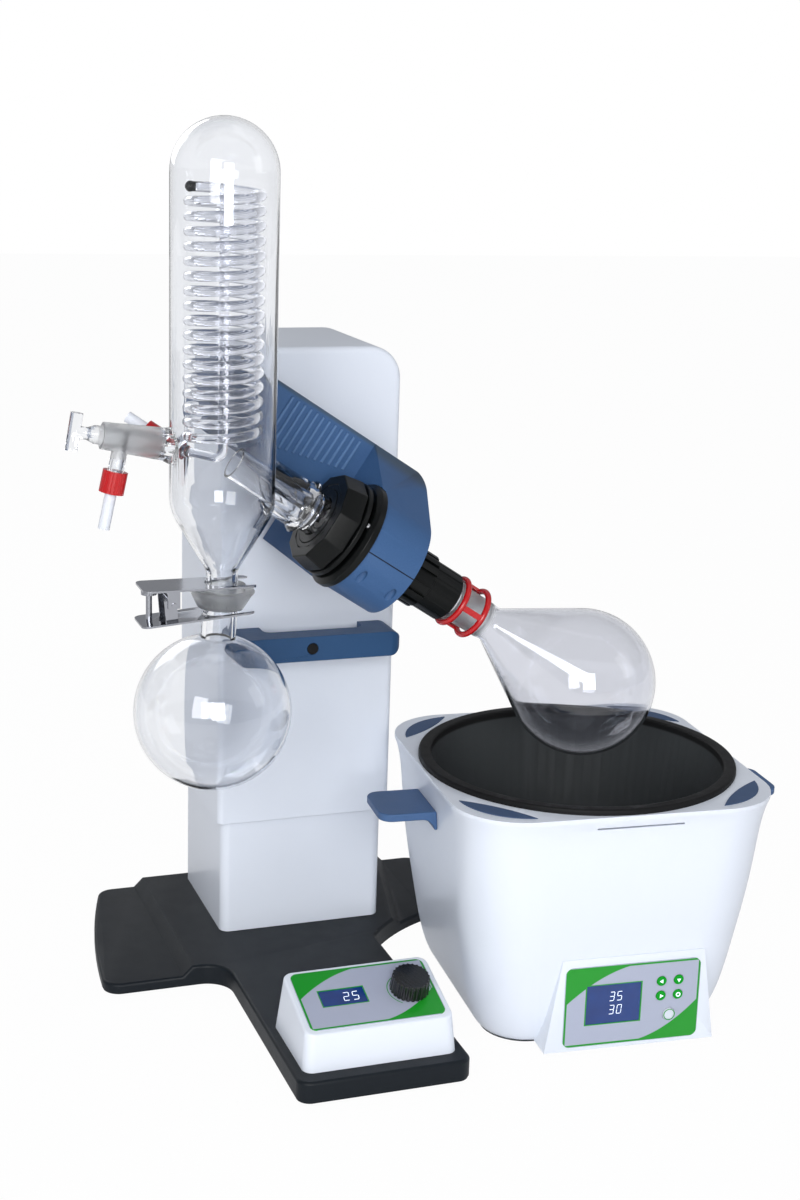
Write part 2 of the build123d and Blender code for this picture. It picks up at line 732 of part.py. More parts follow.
head_slant = Plane(origin=FLASK_CENTRE + ALONG * HEAD_START, z_dir=ALONG - Vector(0, HEAD_SLANT, 0))
head_seam = Plane(origin=FLASK_CENTRE + ABOVE * SEAM, z_dir=ABOVE)
head_outside = head_form(0, head_slant)
head_inside = head_form(HEAD_WALL, cross(FLANGE_SEAT - HEAD_WALL))
shaft_hole = along_shaft(HEAD_END - HEAD_WALL, FLANGE_SEAT, HUB_BORE)
flange_seat = along_shaft(FLANGE_SEAT, MOTOR_HOUSING_END, FLANGE_RADIUS + JOINT_GAP)


def screw_posts(radius, low, high):
    """Posts across the seam, behind the front of the gear case."""
    with BuildPart() as posts:
        for place in COVER_SCREWS:
            with BuildSketch(Plane(origin=cross(place, SCREW_FORWARD, low).origin, x_dir=ALONG, z_dir=ABOVE)):
                Circle(radius)
            extrude(amount=high - low)
    return posts.part


screw_tip = SCREW_LEVEL - SCREW_HEAD_HEIGHT + SCREW_LENGTH
with BuildPart() as head_shell:
    add(head_outside)
    top_end = [
        edge
        for edge in head_shell.edges()
        if abs(DRIVE.to_local_coords(edge.center()).X - HEAD_END) < 0.1
        and abs(DRIVE.to_local_coords(edge.center()).Y - HEAD_UP) < 0.1
    ]
    fillet(top_end, HEAD_TOP_CORNER)
    add(head_inside, mode=Mode.SUBTRACT)
    add(screw_posts(SCREW_BOSS, -HEAD_RADIUS, screw_tip + HEAD_WALL).intersect(head_outside))
    add(screw_posts(SCREW_SHANK, SCREW_LEVEL, screw_tip), mode=Mode.SUBTRACT)
    add(screw_posts(SCREW_HEAD, -HEAD_RADIUS, SCREW_LEVEL), mode=Mode.SUBTRACT)
    add(shaft_hole, mode=Mode.SUBTRACT)
    add(flange_seat, mode=Mode.SUBTRACT)

with BuildPart() as head_upper_cover:
    add(head_shell.part)
    split(bisect_by=head_seam, keep=Keep.TOP)
    for rib in range(RIB_COUNT):
        start = RIB_FIRST + rib * RIB_PITCH
        bottom = RIB_BOTTOM_FIRST + (RIB_BOTTOM_LAST - RIB_BOTTOM_FIRST) * rib / (RIB_COUNT - 1)
        with BuildSketch(DRIVE.offset(-HEAD_FRONT)):
            with Locations((start, (RIB_TOP + bottom) / 2)):
                Rectangle(RIB_WIDTH, RIB_TOP - bottom)
        extrude(amount=-RIB_PROUD, taper=RIB_DRAFT)
finish(head_upper_cover, "head_upper_cover")

with BuildPart() as head_lower_cover:
    add(head_shell.part)
    split(bisect_by=head_seam, keep=Keep.BOTTOM)
finish(head_lower_cover, "head_lower_cover")

with BuildPart() as head_screws:
    add(screw_posts(SCREW_SHANK, SCREW_LEVEL, screw_tip))
    add(screw_posts(SCREW_HEAD - JOINT_GAP, SCREW_LEVEL - SCREW_HEAD_HEIGHT, SCREW_LEVEL))
finish(head_screws, "head_screws")


# Drive train inside the head

motor_place = (MOTOR_SIDE, MOTOR_HIGH)
frame_back = HEAD_BACK + HEAD_WALL
with BuildPart() as head_frame:
    for start in (CHEEK_NEAR, CHEEK_FAR):
        with BuildSketch(cross(start)):
            Circle(CHEEK_RADIUS)
            Polygon(
                (0, -CHEEK_RADIUS / 2),
                (frame_back, -CHEEK_RADIUS / 2),
                (frame_back, MOTOR_HIGH + CHEEK_RADIUS / 2),
                (MOTOR_SIDE, MOTOR_HIGH + CHEEK_RADIUS),
                (0, MOTOR_HIGH / 2),
            )
            Circle(BEARING_RADIUS, mode=Mode.SUBTRACT)
            with Locations(motor_place):
                Circle(MOTOR_PULLEY + CHEEK_WALL, mode=Mode.SUBTRACT)
        extrude(amount=CHEEK)
    with BuildSketch(cross(CHEEK_NEAR)):
        with Locations((frame_back, MOTOR_HIGH / 2)):
            Rectangle(CHEEK_WALL, MOTOR_HIGH + CHEEK_RADIUS / 2, align=(Align.MIN, Align.CENTER))
    extrude(amount=CHEEK_FAR + CHEEK - CHEEK_NEAR)
finish(head_frame, "head_frame")

with BuildPart() as shaft_bearings:
    for start in (CHEEK_NEAR, CHEEK_FAR):
        with BuildSketch(cross(start)):
            Circle(BEARING_RADIUS)
            Circle(SHAFT_RADIUS + RUNNING, mode=Mode.SUBTRACT)
        extrude(amount=CHEEK)
finish(shaft_bearings, "shaft_bearings")

with BuildPart() as hollow_shaft:
    with BuildSketch(cross(SHAFT_START)):
        Circle(SHAFT_RADIUS)
        Circle(SHAFT_BORE, mode=Mode.SUBTRACT)
    extrude(amount=SHAFT_END - SHAFT_START)
finish(hollow_shaft, "hollow_shaft")


def toothed_wheel(place, radius, teeth, bore):
    """A belt pulley between the cheeks, with a groove for each tooth of the belt."""
    width = BELT_WIDTH + 2 * PULLEY_RIM
    with BuildPart() as wheel:
        with BuildSketch(cross(BELT_MIDDLE - width / 2)):
            with Locations(place):
                Circle(radius)
                Circle(bore, mode=Mode.SUBTRACT)
                with PolarLocations(radius, teeth):
                    Rectangle(2 * TOOTH_DEPTH, TOOTH_PITCH / 2, mode=Mode.SUBTRACT)
        extrude(amount=width)
    return wheel.part


with BuildPart() as shaft_pulley:
    add(toothed_wheel((0, 0), SHAFT_PULLEY, SHAFT_TEETH, SHAFT_RADIUS))
finish(shaft_pulley, "shaft_pulley")

motor_face = CHEEK_FAR + CHEEK
with BuildPart() as drive_motor:
    with BuildSketch(cross(motor_face)):
        with Locations(motor_place):
            Circle(MOTOR_RADIUS)
    extrude(amount=MOTOR_LENGTH)
    chamfer(drive_motor.edges(), HEAD_EDGE / 2)
    with BuildSketch(cross(motor_face)):
        with Locations(motor_place):
            Circle(MOTOR_SHAFT + RUNNING)
    extrude(amount=MOTOR_LENGTH / 2, mode=Mode.SUBTRACT)
finish(drive_motor, "drive_motor")

with BuildPart() as motor_pulley:
    add(toothed_wheel(motor_place, MOTOR_PULLEY, MOTOR_TEETH, MOTOR_SHAFT / 2))
    shaft_from = BELT_MIDDLE - BELT_WIDTH / 2
    with BuildSketch(cross(shaft_from)):
        with Locations(motor_place):
            Circle(MOTOR_SHAFT)
    extrude(amount=motor_face + MOTOR_LENGTH / 2 - JOINT_GAP - shaft_from)
finish(motor_pulley, "motor_pulley")

with BuildPart() as drive_belt:
    for gap, mode in ((BELT_GAP + BELT_THICK, Mode.ADD), (BELT_GAP, Mode.SUBTRACT)):
        with BuildSketch(cross(BELT_MIDDLE - BELT_WIDTH / 2)):
            with BuildLine():
                CenterArc((0, 0), SHAFT_PULLEY + gap, 0, 360)
                CenterArc(motor_place, MOTOR_PULLEY + gap, 0, 360)
            make_hull()
        extrude(amount=BELT_WIDTH, mode=mode)
finish(drive_belt, "drive_belt")


# Coupling between the head and the condenser's arm

with BuildPart() as coupling_flange:
    with BuildSketch(DRIVE):
        Polygon(
            (FLANGE_SEAT, HUB_BORE),
            (FLANGE_SEAT, FLANGE_RADIUS),
            (FLANGE_RIM, FLANGE_RADIUS),
            (FLANGE_FACE, FLANGE_STEP),
            (FLANGE_FACE, HUB_RADIUS),
            (HUB_END, HUB_RADIUS),
            (HUB_END, HUB_BORE),
        )
    revolve(axis=DRIVE_AXIS)
finish(coupling_flange, "coupling_flange")

with BuildPart() as shaft_seal:
    with BuildSketch(cross(HUB_END)):
        Circle(HUB_BORE)
        Circle(DUCT_RADIUS + RUNNING, mode=Mode.SUBTRACT)
    extrude(amount=-SEAL_LENGTH)
finish(shaft_seal, "shaft_seal")

glass_rim_end = HUB_END + GLASS_RIM_THICK
with BuildPart() as retaining_ring:
    with BuildSketch(cross(glass_rim_end)):
        Circle(NUT_MOUTH - JOINT_GAP)
        Circle(ARM_NECK + JOINT_GAP, mode=Mode.SUBTRACT)
    extrude(amount=NUT_FACE - glass_rim_end)
finish(retaining_ring, "retaining_ring")

nut_flat_depth = NUT_LARGE * (1 - cos(pi / NUT_FLATS))
with BuildPart() as union_nut:
    with BuildSketch(DRIVE):
        Polygon(
            (NUT_START, HUB_RADIUS + RUNNING),
            (NUT_START, NUT_LARGE),
            (NUT_START + NUT_WALL / 2, NUT_LARGE),
            (NUT_FACE, NUT_SMALL),
            (NUT_FACE, NUT_MOUTH),
            (glass_rim_end + JOINT_GAP, NUT_MOUTH),
            (glass_rim_end + JOINT_GAP, HUB_RADIUS + RUNNING),
        )
    revolve(axis=DRIVE_AXIS)
    with BuildSketch(cross(NUT_START + NUT_WALL)):
        Circle(NUT_LARGE + NUT_WALL)
        RegularPolygon(NUT_LARGE - nut_flat_depth / 3, NUT_FLATS, major_radius=False, mode=Mode.SUBTRACT)
    extrude(amount=NUT_FACE - NUT_START, mode=Mode.SUBTRACT)
finish(union_nut, "union_nut")


# Evaporating flask with its duct, knob and clip

def tangent_point(radius, x, y):
    """Where a line from the point (x, y) touches a circle about the origin."""
    angle = acos(radius / sqrt(x * x + y * y)) + atan2(y, x)
    return radius * cos(angle), radius * sin(angle)


inner_radius = FLASK_RADIUS - FLASK_WALL
outer_touch = tangent_point(FLASK_RADIUS, NECK_START, NECK_FOOT)
inner_touch = tangent_point(inner_radius, NECK_START, NECK_FOOT - FLASK_WALL)
with BuildPart() as evaporating_flask:
    with BuildSketch(DRIVE):
        with BuildLine():
            ThreePointArc((-FLASK_RADIUS, 0), (0, FLASK_RADIUS), outer_touch)
            Polyline(
                outer_touch,
                (NECK_START, NECK_FOOT),
                (NECK_END - GROUND_LENGTH, NECK_RADIUS),
                (NECK_END - NECK_RIM_LENGTH, NECK_RADIUS),
                (NECK_END - NECK_RIM_LENGTH, NECK_RIM),
                (NECK_END, NECK_RIM),
                (NECK_END, GROUND_LARGE),
                (NECK_END - GROUND_LENGTH, GROUND_SMALL),
                (NECK_START, NECK_FOOT - FLASK_WALL),
                inner_touch,
            )
            ThreePointArc(inner_touch, (0, inner_radius), (-inner_radius, 0))
            Line((-inner_radius, 0), (-FLASK_RADIUS, 0))
        make_face()
    revolve(axis=DRIVE_AXIS)
finish(evaporating_flask, "evaporating_flask")

duct_bore = DUCT_RADIUS - DUCT_WALL
with BuildPart() as vapour_duct:
    with BuildSketch(DRIVE):
        Polygon(
            (NECK_END - GROUND_LENGTH, duct_bore),
            (NECK_END - GROUND_LENGTH, GROUND_SMALL - RUNNING),
            (NECK_END, GROUND_LARGE - RUNNING),
            (SHAFT_START - DUCT_WALL, GROUND_LARGE - RUNNING),
            (SHAFT_START, DUCT_RADIUS),
            (DUCT_END, DUCT_RADIUS),
            (DUCT_END, duct_bore),
        )
    revolve(axis=DRIVE_AXIS)
finish(vapour_duct, "vapour_duct")

with BuildPart() as flask_knob:
    with BuildSketch(DRIVE):
        Polygon(
            (KNOB_END, SHAFT_RADIUS + RUNNING),
            (KNOB_END, KNOB_NOSE - KNOB_FLUTE),
            (KNOB_END + KNOB_FLUTE, KNOB_NOSE),
            (KNOB_STEP, KNOB_NOSE),
            (KNOB_STEP + KNOB_FLUTE, KNOB_RADIUS),
            (KNOB_START, KNOB_RADIUS),
            (KNOB_START, SHAFT_RADIUS + RUNNING),
        )
    revolve(axis=DRIVE_AXIS)
    with BuildSketch(cross(KNOB_END)):
        with PolarLocations(KNOB_RADIUS, KNOB_FLUTES):
            Rectangle(4 * KNOB_FLUTE, 2 * KNOB_FLUTE)
    extrude(amount=KNOB_START - KNOB_END - NECK_RIM_LENGTH, mode=Mode.SUBTRACT)
finish(flask_knob, "flask_knob")

with BuildPart() as flask_clip:
    for ring in (CLIP_NEAR, CLIP_FAR):
        with Locations(cross(ring)):
            Torus(CLIP_RADIUS, CLIP_WIRE)
    with BuildSketch(cross(CLIP_FAR)):
        with PolarLocations(CLIP_RADIUS, CLIP_BARS):
            Rectangle(CLIP_WIRE, 2 * CLIP_WIRE)
    extrude(amount=CLIP_NEAR - CLIP_FAR)
finish(flask_clip, "flask_clip")


# Condenser: jacket with its arm, stopcock barrel and water stubs, and the coil inside

COCK = Plane(
    origin=(COCK_START[0], GLASS_Y, COCK_START[1]),
    x_dir=(-cos(radians(COCK_TILT)), 0, sin(radians(COCK_TILT))),
    z_dir=(0, 1, 0),
)
COCK_AXIS = Axis(COCK.origin, COCK.x_dir)
branch_root = COCK.origin + COCK.x_dir * BRANCH_AT
BRANCH = Plane(
    origin=branch_root,
    x_dir=(cos(radians(BRANCH_TILT)), 0, -sin(radians(BRANCH_TILT))),
    z_dir=(-sin(radians(BRANCH_TILT)), 0, -cos(radians(BRANCH_TILT))),
)


def port_plane(direction, height, rise):
    """Plane across a water connection, on the jacket's wall, looking outwards."""
    out = Vector(cos(radians(direction)), sin(radians(direction)), 0)
    root = Vector(CONDENSER_X, GLASS_Y, height) + out * (JACKET_RADIUS - GLASS_WALL)
    return Plane(origin=root, z_dir=out * cos(radians(rise)) + Vector(0, 0, sin(radians(rise))))


def jacket_form(wall):
    """The jacket's body down to the outlet, with its surface moved in by wall."""
    top = JACKET_TOP - JACKET_RADIUS
    radius = JACKET_RADIUS - wall
    outlet = OUTLET_BORE if wall else OUTLET_RADIUS
    end = BALL_Z - BALL_RADIUS if wall else BALL_Z
    with BuildPart() as form:
        with BuildSketch(CONDENSER):
            with BuildLine():
                crown = radius * sin(pi / 4)
                ThreePointArc((0, top + radius), (crown, top + crown), (radius, top))
                Polyline((radius, top), (radius, JACKET_BOTTOM), (outlet, CONE_END))
                Polyline((outlet, CONE_END), (outlet, end), (0, end), (0, top + radius))
            make_face()
        revolve(axis=CONDENSER_AXIS)
        fillet(form.edges().filter_by_position(Axis.Z, JACKET_BOTTOM - 1, JACKET_BOTTOM + 1), radius)
        fillet(form.edges().filter_by_position(Axis.Z, CONE_END - 1, CONE_END + 1), JACKET_RADIUS / 4)
    return form.part


jacket_outside = jacket_form(0)
jacket_inside = jacket_form(GLASS_WALL)
condenser_on_drive = (FLASK_X - CONDENSER_X) / cos(TILT)
arm_space = along_shaft(HUB_END - 1, condenser_on_drive, ARM_NECK - GLASS_WALL)
tube_space = along_shaft(TUBE_START, TUBE_OPEN_END + 1, TUBE_RADIUS - DUCT_WALL)
with BuildPart() as condenser_jacket:
    add(jacket_outside)
    with BuildSketch(CONDENSER):
        with BuildLine():
            shoulder = (BALL_RADIUS, BALL_Z)
            foot = (OUTLET_BORE, BALL_Z - sqrt(BALL_RADIUS**2 - OUTLET_BORE**2))
            middle = (BALL_RADIUS * cos(pi / 5), BALL_Z - BALL_RADIUS * sin(pi / 5))
            ThreePointArc(shoulder, middle, foot)
            Polyline(foot, (0, foot[1]), (0, BALL_Z), shoulder)
        make_face()
    revolve(axis=CONDENSER_AXIS)
    with BuildSketch(DRIVE):
        with BuildLine():
            Polyline(
                (condenser_on_drive, 0),
                (HUB_END, 0),
                (HUB_END, GLASS_RIM),
                (glass_rim_end, GLASS_RIM),
                (glass_rim_end, ARM_NECK),
                (ARM_BEAD_AT - GLASS_RIM_THICK, ARM_NECK),
                (ARM_BEAD_AT, ARM_BEAD),
                (ARM_BEAD_AT + GLASS_RIM_THICK, ARM_RADIUS),
                (condenser_on_drive, ARM_RADIUS),
                (condenser_on_drive, 0),
            )
        make_face()
    revolve(axis=DRIVE_AXIS)
    with BuildSketch(COCK):
        Polygon(
            (-COCK_ROOT, 0),
            (-COCK_ROOT, COCK_BARREL + COCK_ROOT / 3),
            (0, COCK_BARREL),
            (COCK_BARREL_LENGTH, COCK_SMALL_END),
            (COCK_BARREL_LENGTH, 0),
        )
    revolve(axis=COCK_AXIS)
    with BuildSketch(BRANCH):
        Circle(BRANCH_RADIUS)
    extrude(amount=CAP_AT)
    for port in WATER_PORTS:
        with BuildSketch(port_plane(*port)):
            Circle(PORT_RADIUS)
        extrude(amount=PORT_LENGTH + PORT_CAP_LENGTH / 2)
    add(arm_space, mode=Mode.SUBTRACT)
    add(jacket_inside, mode=Mode.SUBTRACT)
    with BuildSketch(cross(TUBE_START)):
        Circle(ARM_NECK)
    extrude(amount=GLASS_WALL)
    with BuildSketch(cross(TUBE_START)):
        Circle(TUBE_RADIUS)
    extrude(amount=TUBE_OPEN_END - TUBE_START)
    add(tube_space, mode=Mode.SUBTRACT)
    with BuildSketch(COCK):
        Polygon(
            (-2 * COCK_ROOT, 0),
            (-2 * COCK_ROOT, COCK_BORE_SMALL),
            (0, COCK_BORE_SMALL),
            (COCK_BARREL_LENGTH, COCK_BORE),
            (COCK_BARREL_LENGTH, 0),
        )
    revolve(axis=COCK_AXIS, mode=Mode.SUBTRACT)
    with BuildSketch(BRANCH):
        Circle(BRANCH_BORE)
    extrude(amount=CAP_AT, mode=Mode.SUBTRACT)
    for port in WATER_PORTS:
        with BuildSketch(port_plane(*port)):
            Circle(PORT_RADIUS - GLASS_WALL)
        extrude(amount=PORT_LENGTH + PORT_CAP_LENGTH / 2, mode=Mode.SUBTRACT)
finish(condenser_jacket, "condenser_jacket")


def in_jacket(direction, radius, height):
    """A point inside the jacket, by its direction, distance from the axis and height."""
    angle = radians(direction)
    return Vector(CONDENSER_X + radius * cos(angle), GLASS_Y + radius * sin(angle), height)


supply, drain = WATER_PORTS
coil_top = COIL_BOTTOM + COIL_PITCH * COIL_TURNS
coil_ends = [in_jacket(supply[0], COIL_RADIUS, height) for height in (COIL_BOTTOM, coil_top)]
with BuildLine() as supply_path:
    Line(coil_ends[0], in_jacket(supply[0], JACKET_RADIUS, supply[1]))
with BuildLine() as drain_path:
    FilletPolyline(
        coil_ends[1],
        in_jacket(supply[0], 0, coil_top),
        in_jacket(drain[0], 0, drain[1]),
        in_jacket(drain[0], JACKET_RADIUS, drain[1]),
        radius=COIL_BEND,
    )
with BuildLine() as turns:
    Helix(
        pitch=COIL_PITCH,
        height=COIL_PITCH * COIL_TURNS,
        radius=COIL_RADIUS,
        center=(CONDENSER_X, GLASS_Y, COIL_BOTTOM),
    )
coil_path = turns.line.rotate(CONDENSER_AXIS, supply[0])

with BuildPart() as coil_leads:
    for path in (supply_path.line, drain_path.line):
        with BuildSketch(Plane(path @ 0, z_dir=path % 0)):
            Circle(COIL_TUBE)
        sweep(path=path)
    with BuildSketch(Plane((CONDENSER_X, GLASS_Y, 0))):
        Circle(JACKET_RADIUS - GLASS_WALL)
    extrude(amount=JACKET_TOP, mode=Mode.INTERSECT)

with BuildPart() as condenser_coil:
    with BuildSketch(Plane(coil_path @ 0, z_dir=coil_path % 0)):
        Circle(COIL_TUBE)
    sweep(path=coil_path, is_frenet=True)
    with Locations(*coil_ends):
        Sphere(COIL_BEAD)
    add(coil_leads.part)
finish(condenser_coil, "condenser_coil")

with BuildPart() as hose_caps:
    for port in WATER_PORTS:
        face = port_plane(*port)
        with BuildSketch(face.offset(PORT_LENGTH)):
            Circle(PORT_CAP_RADIUS)
        extrude(amount=PORT_CAP_LENGTH)
        with BuildSketch(face.offset(PORT_LENGTH)):
            Circle(PORT_RADIUS)
        extrude(amount=PORT_CAP_LENGTH / 2, mode=Mode.SUBTRACT)
        with BuildSketch(face.offset(PORT_LENGTH + PORT_CAP_LENGTH / 2)):
            Circle(HOSE_RADIUS)
        extrude(amount=PORT_CAP_LENGTH / 2, mode=Mode.SUBTRACT)
    with BuildSketch(BRANCH.offset(CAP_AT)):
        Circle(CAP_RADIUS)
        with PolarLocations(CAP_RADIUS, CAP_RIBS):
            Circle(CAP_RADIUS / CAP_RIBS, mode=Mode.SUBTRACT)
        Circle(HOSE_RADIUS, mode=Mode.SUBTRACT)
    extrude(amount=CAP_LENGTH)
finish(hose_caps, "hose_caps")

with BuildPart() as hose_nozzles:
    cap_end = PORT_LENGTH + PORT_CAP_LENGTH
    nozzles = [(BRANCH, CAP_AT, CAP_AT + CAP_LENGTH, HOSE_END)]
    for port in WATER_PORTS:
        nozzles.append((port_plane(*port), cap_end - PORT_CAP_LENGTH / 2, cap_end, PORT_HOSE_END))
    for face, start, mouth, end in nozzles:
        with BuildSketch(face.offset(start)):
            Circle(HOSE_RADIUS - JOINT_GAP)
            Circle(HOSE_BORE, mode=Mode.SUBTRACT)
        extrude(amount=mouth - start)
        with BuildSketch(face.offset(mouth)):
            Circle(HOSE_RADIUS)
            Circle(HOSE_BORE, mode=Mode.SUBTRACT)
        extrude(amount=end - mouth)
finish(hose_nozzles, "hose_nozzles")

with BuildPart() as stopcock_plug:
    with BuildSketch(COCK):
        Polygon(
            (0, 0),
            (0, COCK_BORE_SMALL - RUNNING),
            (COCK_BARREL_LENGTH, COCK_BORE - RUNNING),
            (COCK_BARREL_LENGTH + PLUG_REACH / 2, COCK_BORE - RUNNING),
            (COCK_BARREL_LENGTH + PLUG_REACH, GRIP_RADIUS),
            (PLUG_GRIP, GRIP_RADIUS),
            (PLUG_GRIP, 0),
        )
    revolve(axis=COCK_AXIS)
    grip_foot = COCK.from_local_coords((PLUG_GRIP, -GRIP_LENGTH / 2))
    with BuildSketch(Plane(grip_foot, z_dir=COCK.y_dir)):
        Circle(GRIP_RADIUS)
    extrude(amount=GRIP_LENGTH)
    with BuildSketch(BRANCH):
        Circle(BRANCH_BORE)
    extrude(amount=COCK_BARREL, both=True, mode=Mode.SUBTRACT)
finish(stopcock_plug, "stopcock_plug")


# Receiving flask, hanging from the ball joint in the fork clamp

socket = BALL_RADIUS + JOINT_GAP
rim_level = -sqrt(socket**2 - (socket - JOINT_GAP) ** 2)
sphere_top = sqrt(RECEIVER_RADIUS**2 - RECEIVER_NECK**2) - RECEIVER_DROP
inner_sphere = RECEIVER_RADIUS - FLASK_WALL
bore_level = sqrt(inner_sphere**2 - RECEIVER_BORE**2) - RECEIVER_DROP
socket_foot = -sqrt(socket**2 - RECEIVER_BORE**2)
with BuildPart() as receiving_flask:
    with BuildSketch(RECEIVER):
        with BuildLine():
            ThreePointArc(
                (0, -RECEIVER_DROP - RECEIVER_RADIUS),
                (RECEIVER_RADIUS, -RECEIVER_DROP),
                (RECEIVER_NECK, sphere_top),
            )
            Polyline(
                (RECEIVER_NECK, sphere_top),
                (RECEIVER_NECK, -CUP_DEPTH),
                (CUP_FOOT, -CUP_DEPTH),
                (CUP_RIM - CUP_LIP, rim_level - 2 * CUP_LIP),
                (CUP_RIM, rim_level - CUP_LIP),
                (CUP_RIM, rim_level),
                (socket - JOINT_GAP, rim_level),
            )
            ThreePointArc(
                (socket - JOINT_GAP, rim_level),
                (socket * cos(pi / 6), -socket * sin(pi / 6)),
                (RECEIVER_BORE, socket_foot),
            )
            Line((RECEIVER_BORE, socket_foot), (RECEIVER_BORE, bore_level))
            ThreePointArc(
                (RECEIVER_BORE, bore_level),
                (inner_sphere, -RECEIVER_DROP),
                (0, -RECEIVER_DROP - inner_sphere),
            )
            Line((0, -RECEIVER_DROP - inner_sphere), (0, -RECEIVER_DROP - RECEIVER_RADIUS))
        make_face()
    revolve(axis=RECEIVER_AXIS)
finish(receiving_flask, "receiving_flask")

upper_fork_level = BALL_Z + JOINT_GAP
tilt = radians(FORK_TILT)
cup_edge = RECEIVER.from_local_coords((CUP_FOOT, -CUP_DEPTH))
neck_centre = RECEIVER.from_local_coords((0, -CUP_DEPTH))
fork_drop = FORK_SHEET + JOINT_GAP + (cup_edge.X - neck_centre.X) * sin(tilt)
LOWER_FORK = Plane(
    origin=(neck_centre.X, GLASS_Y, cup_edge.Z - fork_drop),
    x_dir=(cos(tilt), 0, sin(tilt)),
    z_dir=(-sin(tilt), 0, cos(tilt)),
)


def fork(plane, slot):
    """A forked plate, open to the right, with its tail to the left."""
    with BuildPart() as plate:
        with BuildSketch(plane):
            with Locations(((FORK_REACH - FORK_TAIL) / 2, 0)):
                RectangleRounded(FORK_REACH + FORK_TAIL, FORK_WIDTH, FORK_WIDTH / 6)
            Circle(slot, mode=Mode.SUBTRACT)
            Rectangle(2 * FORK_REACH, 2 * slot, align=(Align.MIN, Align.CENTER), mode=Mode.SUBTRACT)
        extrude(amount=FORK_SHEET)
    return plate.part


def lugs(plane, spread, depth):
    """Two ears of a fork that hold the hinge pin."""
    foot = plane.origin - plane.x_dir * CLAMP_PIN_AT
    rows = Align.MAX if depth < 0 else Align.MIN
    with BuildPart() as ears:
        for side in (-1, 1):
            with BuildSketch(Plane(foot, x_dir=plane.x_dir, z_dir=(0, -1, 0)).offset(side * spread)):
                Rectangle(2 * LUG_HALF, abs(depth), align=(Align.CENTER, rows))
            extrude(amount=FORK_SHEET / 2, both=True)
    return ears.part


pin_place = Vector(CONDENSER_X - CLAMP_PIN_AT, GLASS_Y, upper_fork_level - CLAMP_PIN_DROP)
with BuildPart() as clamp_upper_fork:
    add(fork(Plane.XY.offset(upper_fork_level).move(Location((CONDENSER_X, GLASS_Y, 0))), FORK_SLOT))
    add(lugs(Plane((CONDENSER_X, GLASS_Y, upper_fork_level)), LUG_SPREAD, -LUG_DEPTH - CLAMP_PIN_RADIUS))
    with BuildSketch(Plane(origin=pin_place, z_dir=(0, -1, 0))):
        Circle(CLAMP_PIN_RADIUS)
    extrude(amount=LUG_SPREAD + FORK_SHEET, both=True)
finish(clamp_upper_fork, "clamp_upper_fork")

screw_x = CONDENSER_X - CLAMP_SCREW_AT
with BuildPart() as clamp_lower_fork:
    add(fork(LOWER_FORK, RECEIVER_NECK + 2 * JOINT_GAP))
    lug_foot = LOWER_FORK.origin.Z - CLAMP_PIN_AT * sin(tilt)
    lug_height = pin_place.Z - lug_foot + 2 * CLAMP_PIN_RADIUS
    add(lugs(LOWER_FORK, LUG_SPREAD - FORK_SHEET - JOINT_GAP, lug_height))
    screw_foot = LOWER_FORK.from_local_coords((-CLAMP_SCREW_AT, 0, FORK_SHEET / 2)).Z
    with BuildSketch(Plane((screw_x, GLASS_Y, screw_foot))):
        Circle(CLAMP_SCREW_RADIUS)
    extrude(amount=upper_fork_level - JOINT_GAP - screw_foot)
    with BuildSketch(Plane(origin=pin_place, z_dir=(0, -1, 0))):
        Circle(CLAMP_PIN_RADIUS)
    extrude(amount=LUG_SPREAD + FORK_SHEET, both=True, mode=Mode.SUBTRACT)
finish(clamp_lower_fork, "clamp_lower_fork")

with BuildPart() as clamp_nut:
    with BuildSketch(Plane((screw_x, GLASS_Y, upper_fork_level - JOINT_GAP - CLAMP_NUT_HEIGHT))):
        Circle(CLAMP_NUT_RADIUS)
        with PolarLocations(CLAMP_NUT_RADIUS, CLAMP_NUT_KNURLS):
            Circle(CLAMP_NUT_RADIUS / CLAMP_NUT_KNURLS, mode=Mode.SUBTRACT)
        Circle(CLAMP_SCREW_RADIUS + RUNNING, mode=Mode.SUBTRACT)
    extrude(amount=CLAMP_NUT_HEIGHT)
finish(clamp_nut, "clamp_nut")


# Control box on the base's arm

box_slope = atan2(BOX_TOP_BACK[1] - BOX_TOP_FRONT[1], BOX_TOP_BACK[0] - BOX_TOP_FRONT[0])
box_length = sqrt((BOX_TOP_BACK[0] - BOX_TOP_FRONT[0]) ** 2 + (BOX_TOP_BACK[1] - BOX_TOP_FRONT[1]) ** 2)
BOX_TOP = Plane(
    origin=(BOX_X, (BOX_TOP_FRONT[0] + BOX_TOP_BACK[0]) / 2, (BOX_TOP_FRONT[1] + BOX_TOP_BACK[1]) / 2),
    x_dir=(1, 0, 0),
    z_dir=(0, -sin(box_slope), cos(box_slope)),
)
BOX_FOOT = Plane((BOX_X, (BOX_FRONT + BOX_BACK) / 2, BASE_HEIGHT))


def box_form(inset):
    """The control box's wedge, drawn in by inset at its sides and top."""
    with BuildPart() as form:
        with BuildSketch(BOX_FOOT):
            RectangleRounded(2 * (BOX_HALF - inset), BOX_BACK - BOX_FRONT - 2 * inset, BOX_CORNER - inset)
        with BuildSketch(BOX_TOP.offset(-inset)):
            RectangleRounded(2 * (BOX_TOP_HALF - inset), box_length - 2 * inset, BOX_CORNER - inset)
        loft()
        if not inset:
            fillet(form.faces().sort_by(Axis.Z)[-1].edges(), BOX_EDGE)
    return form.part


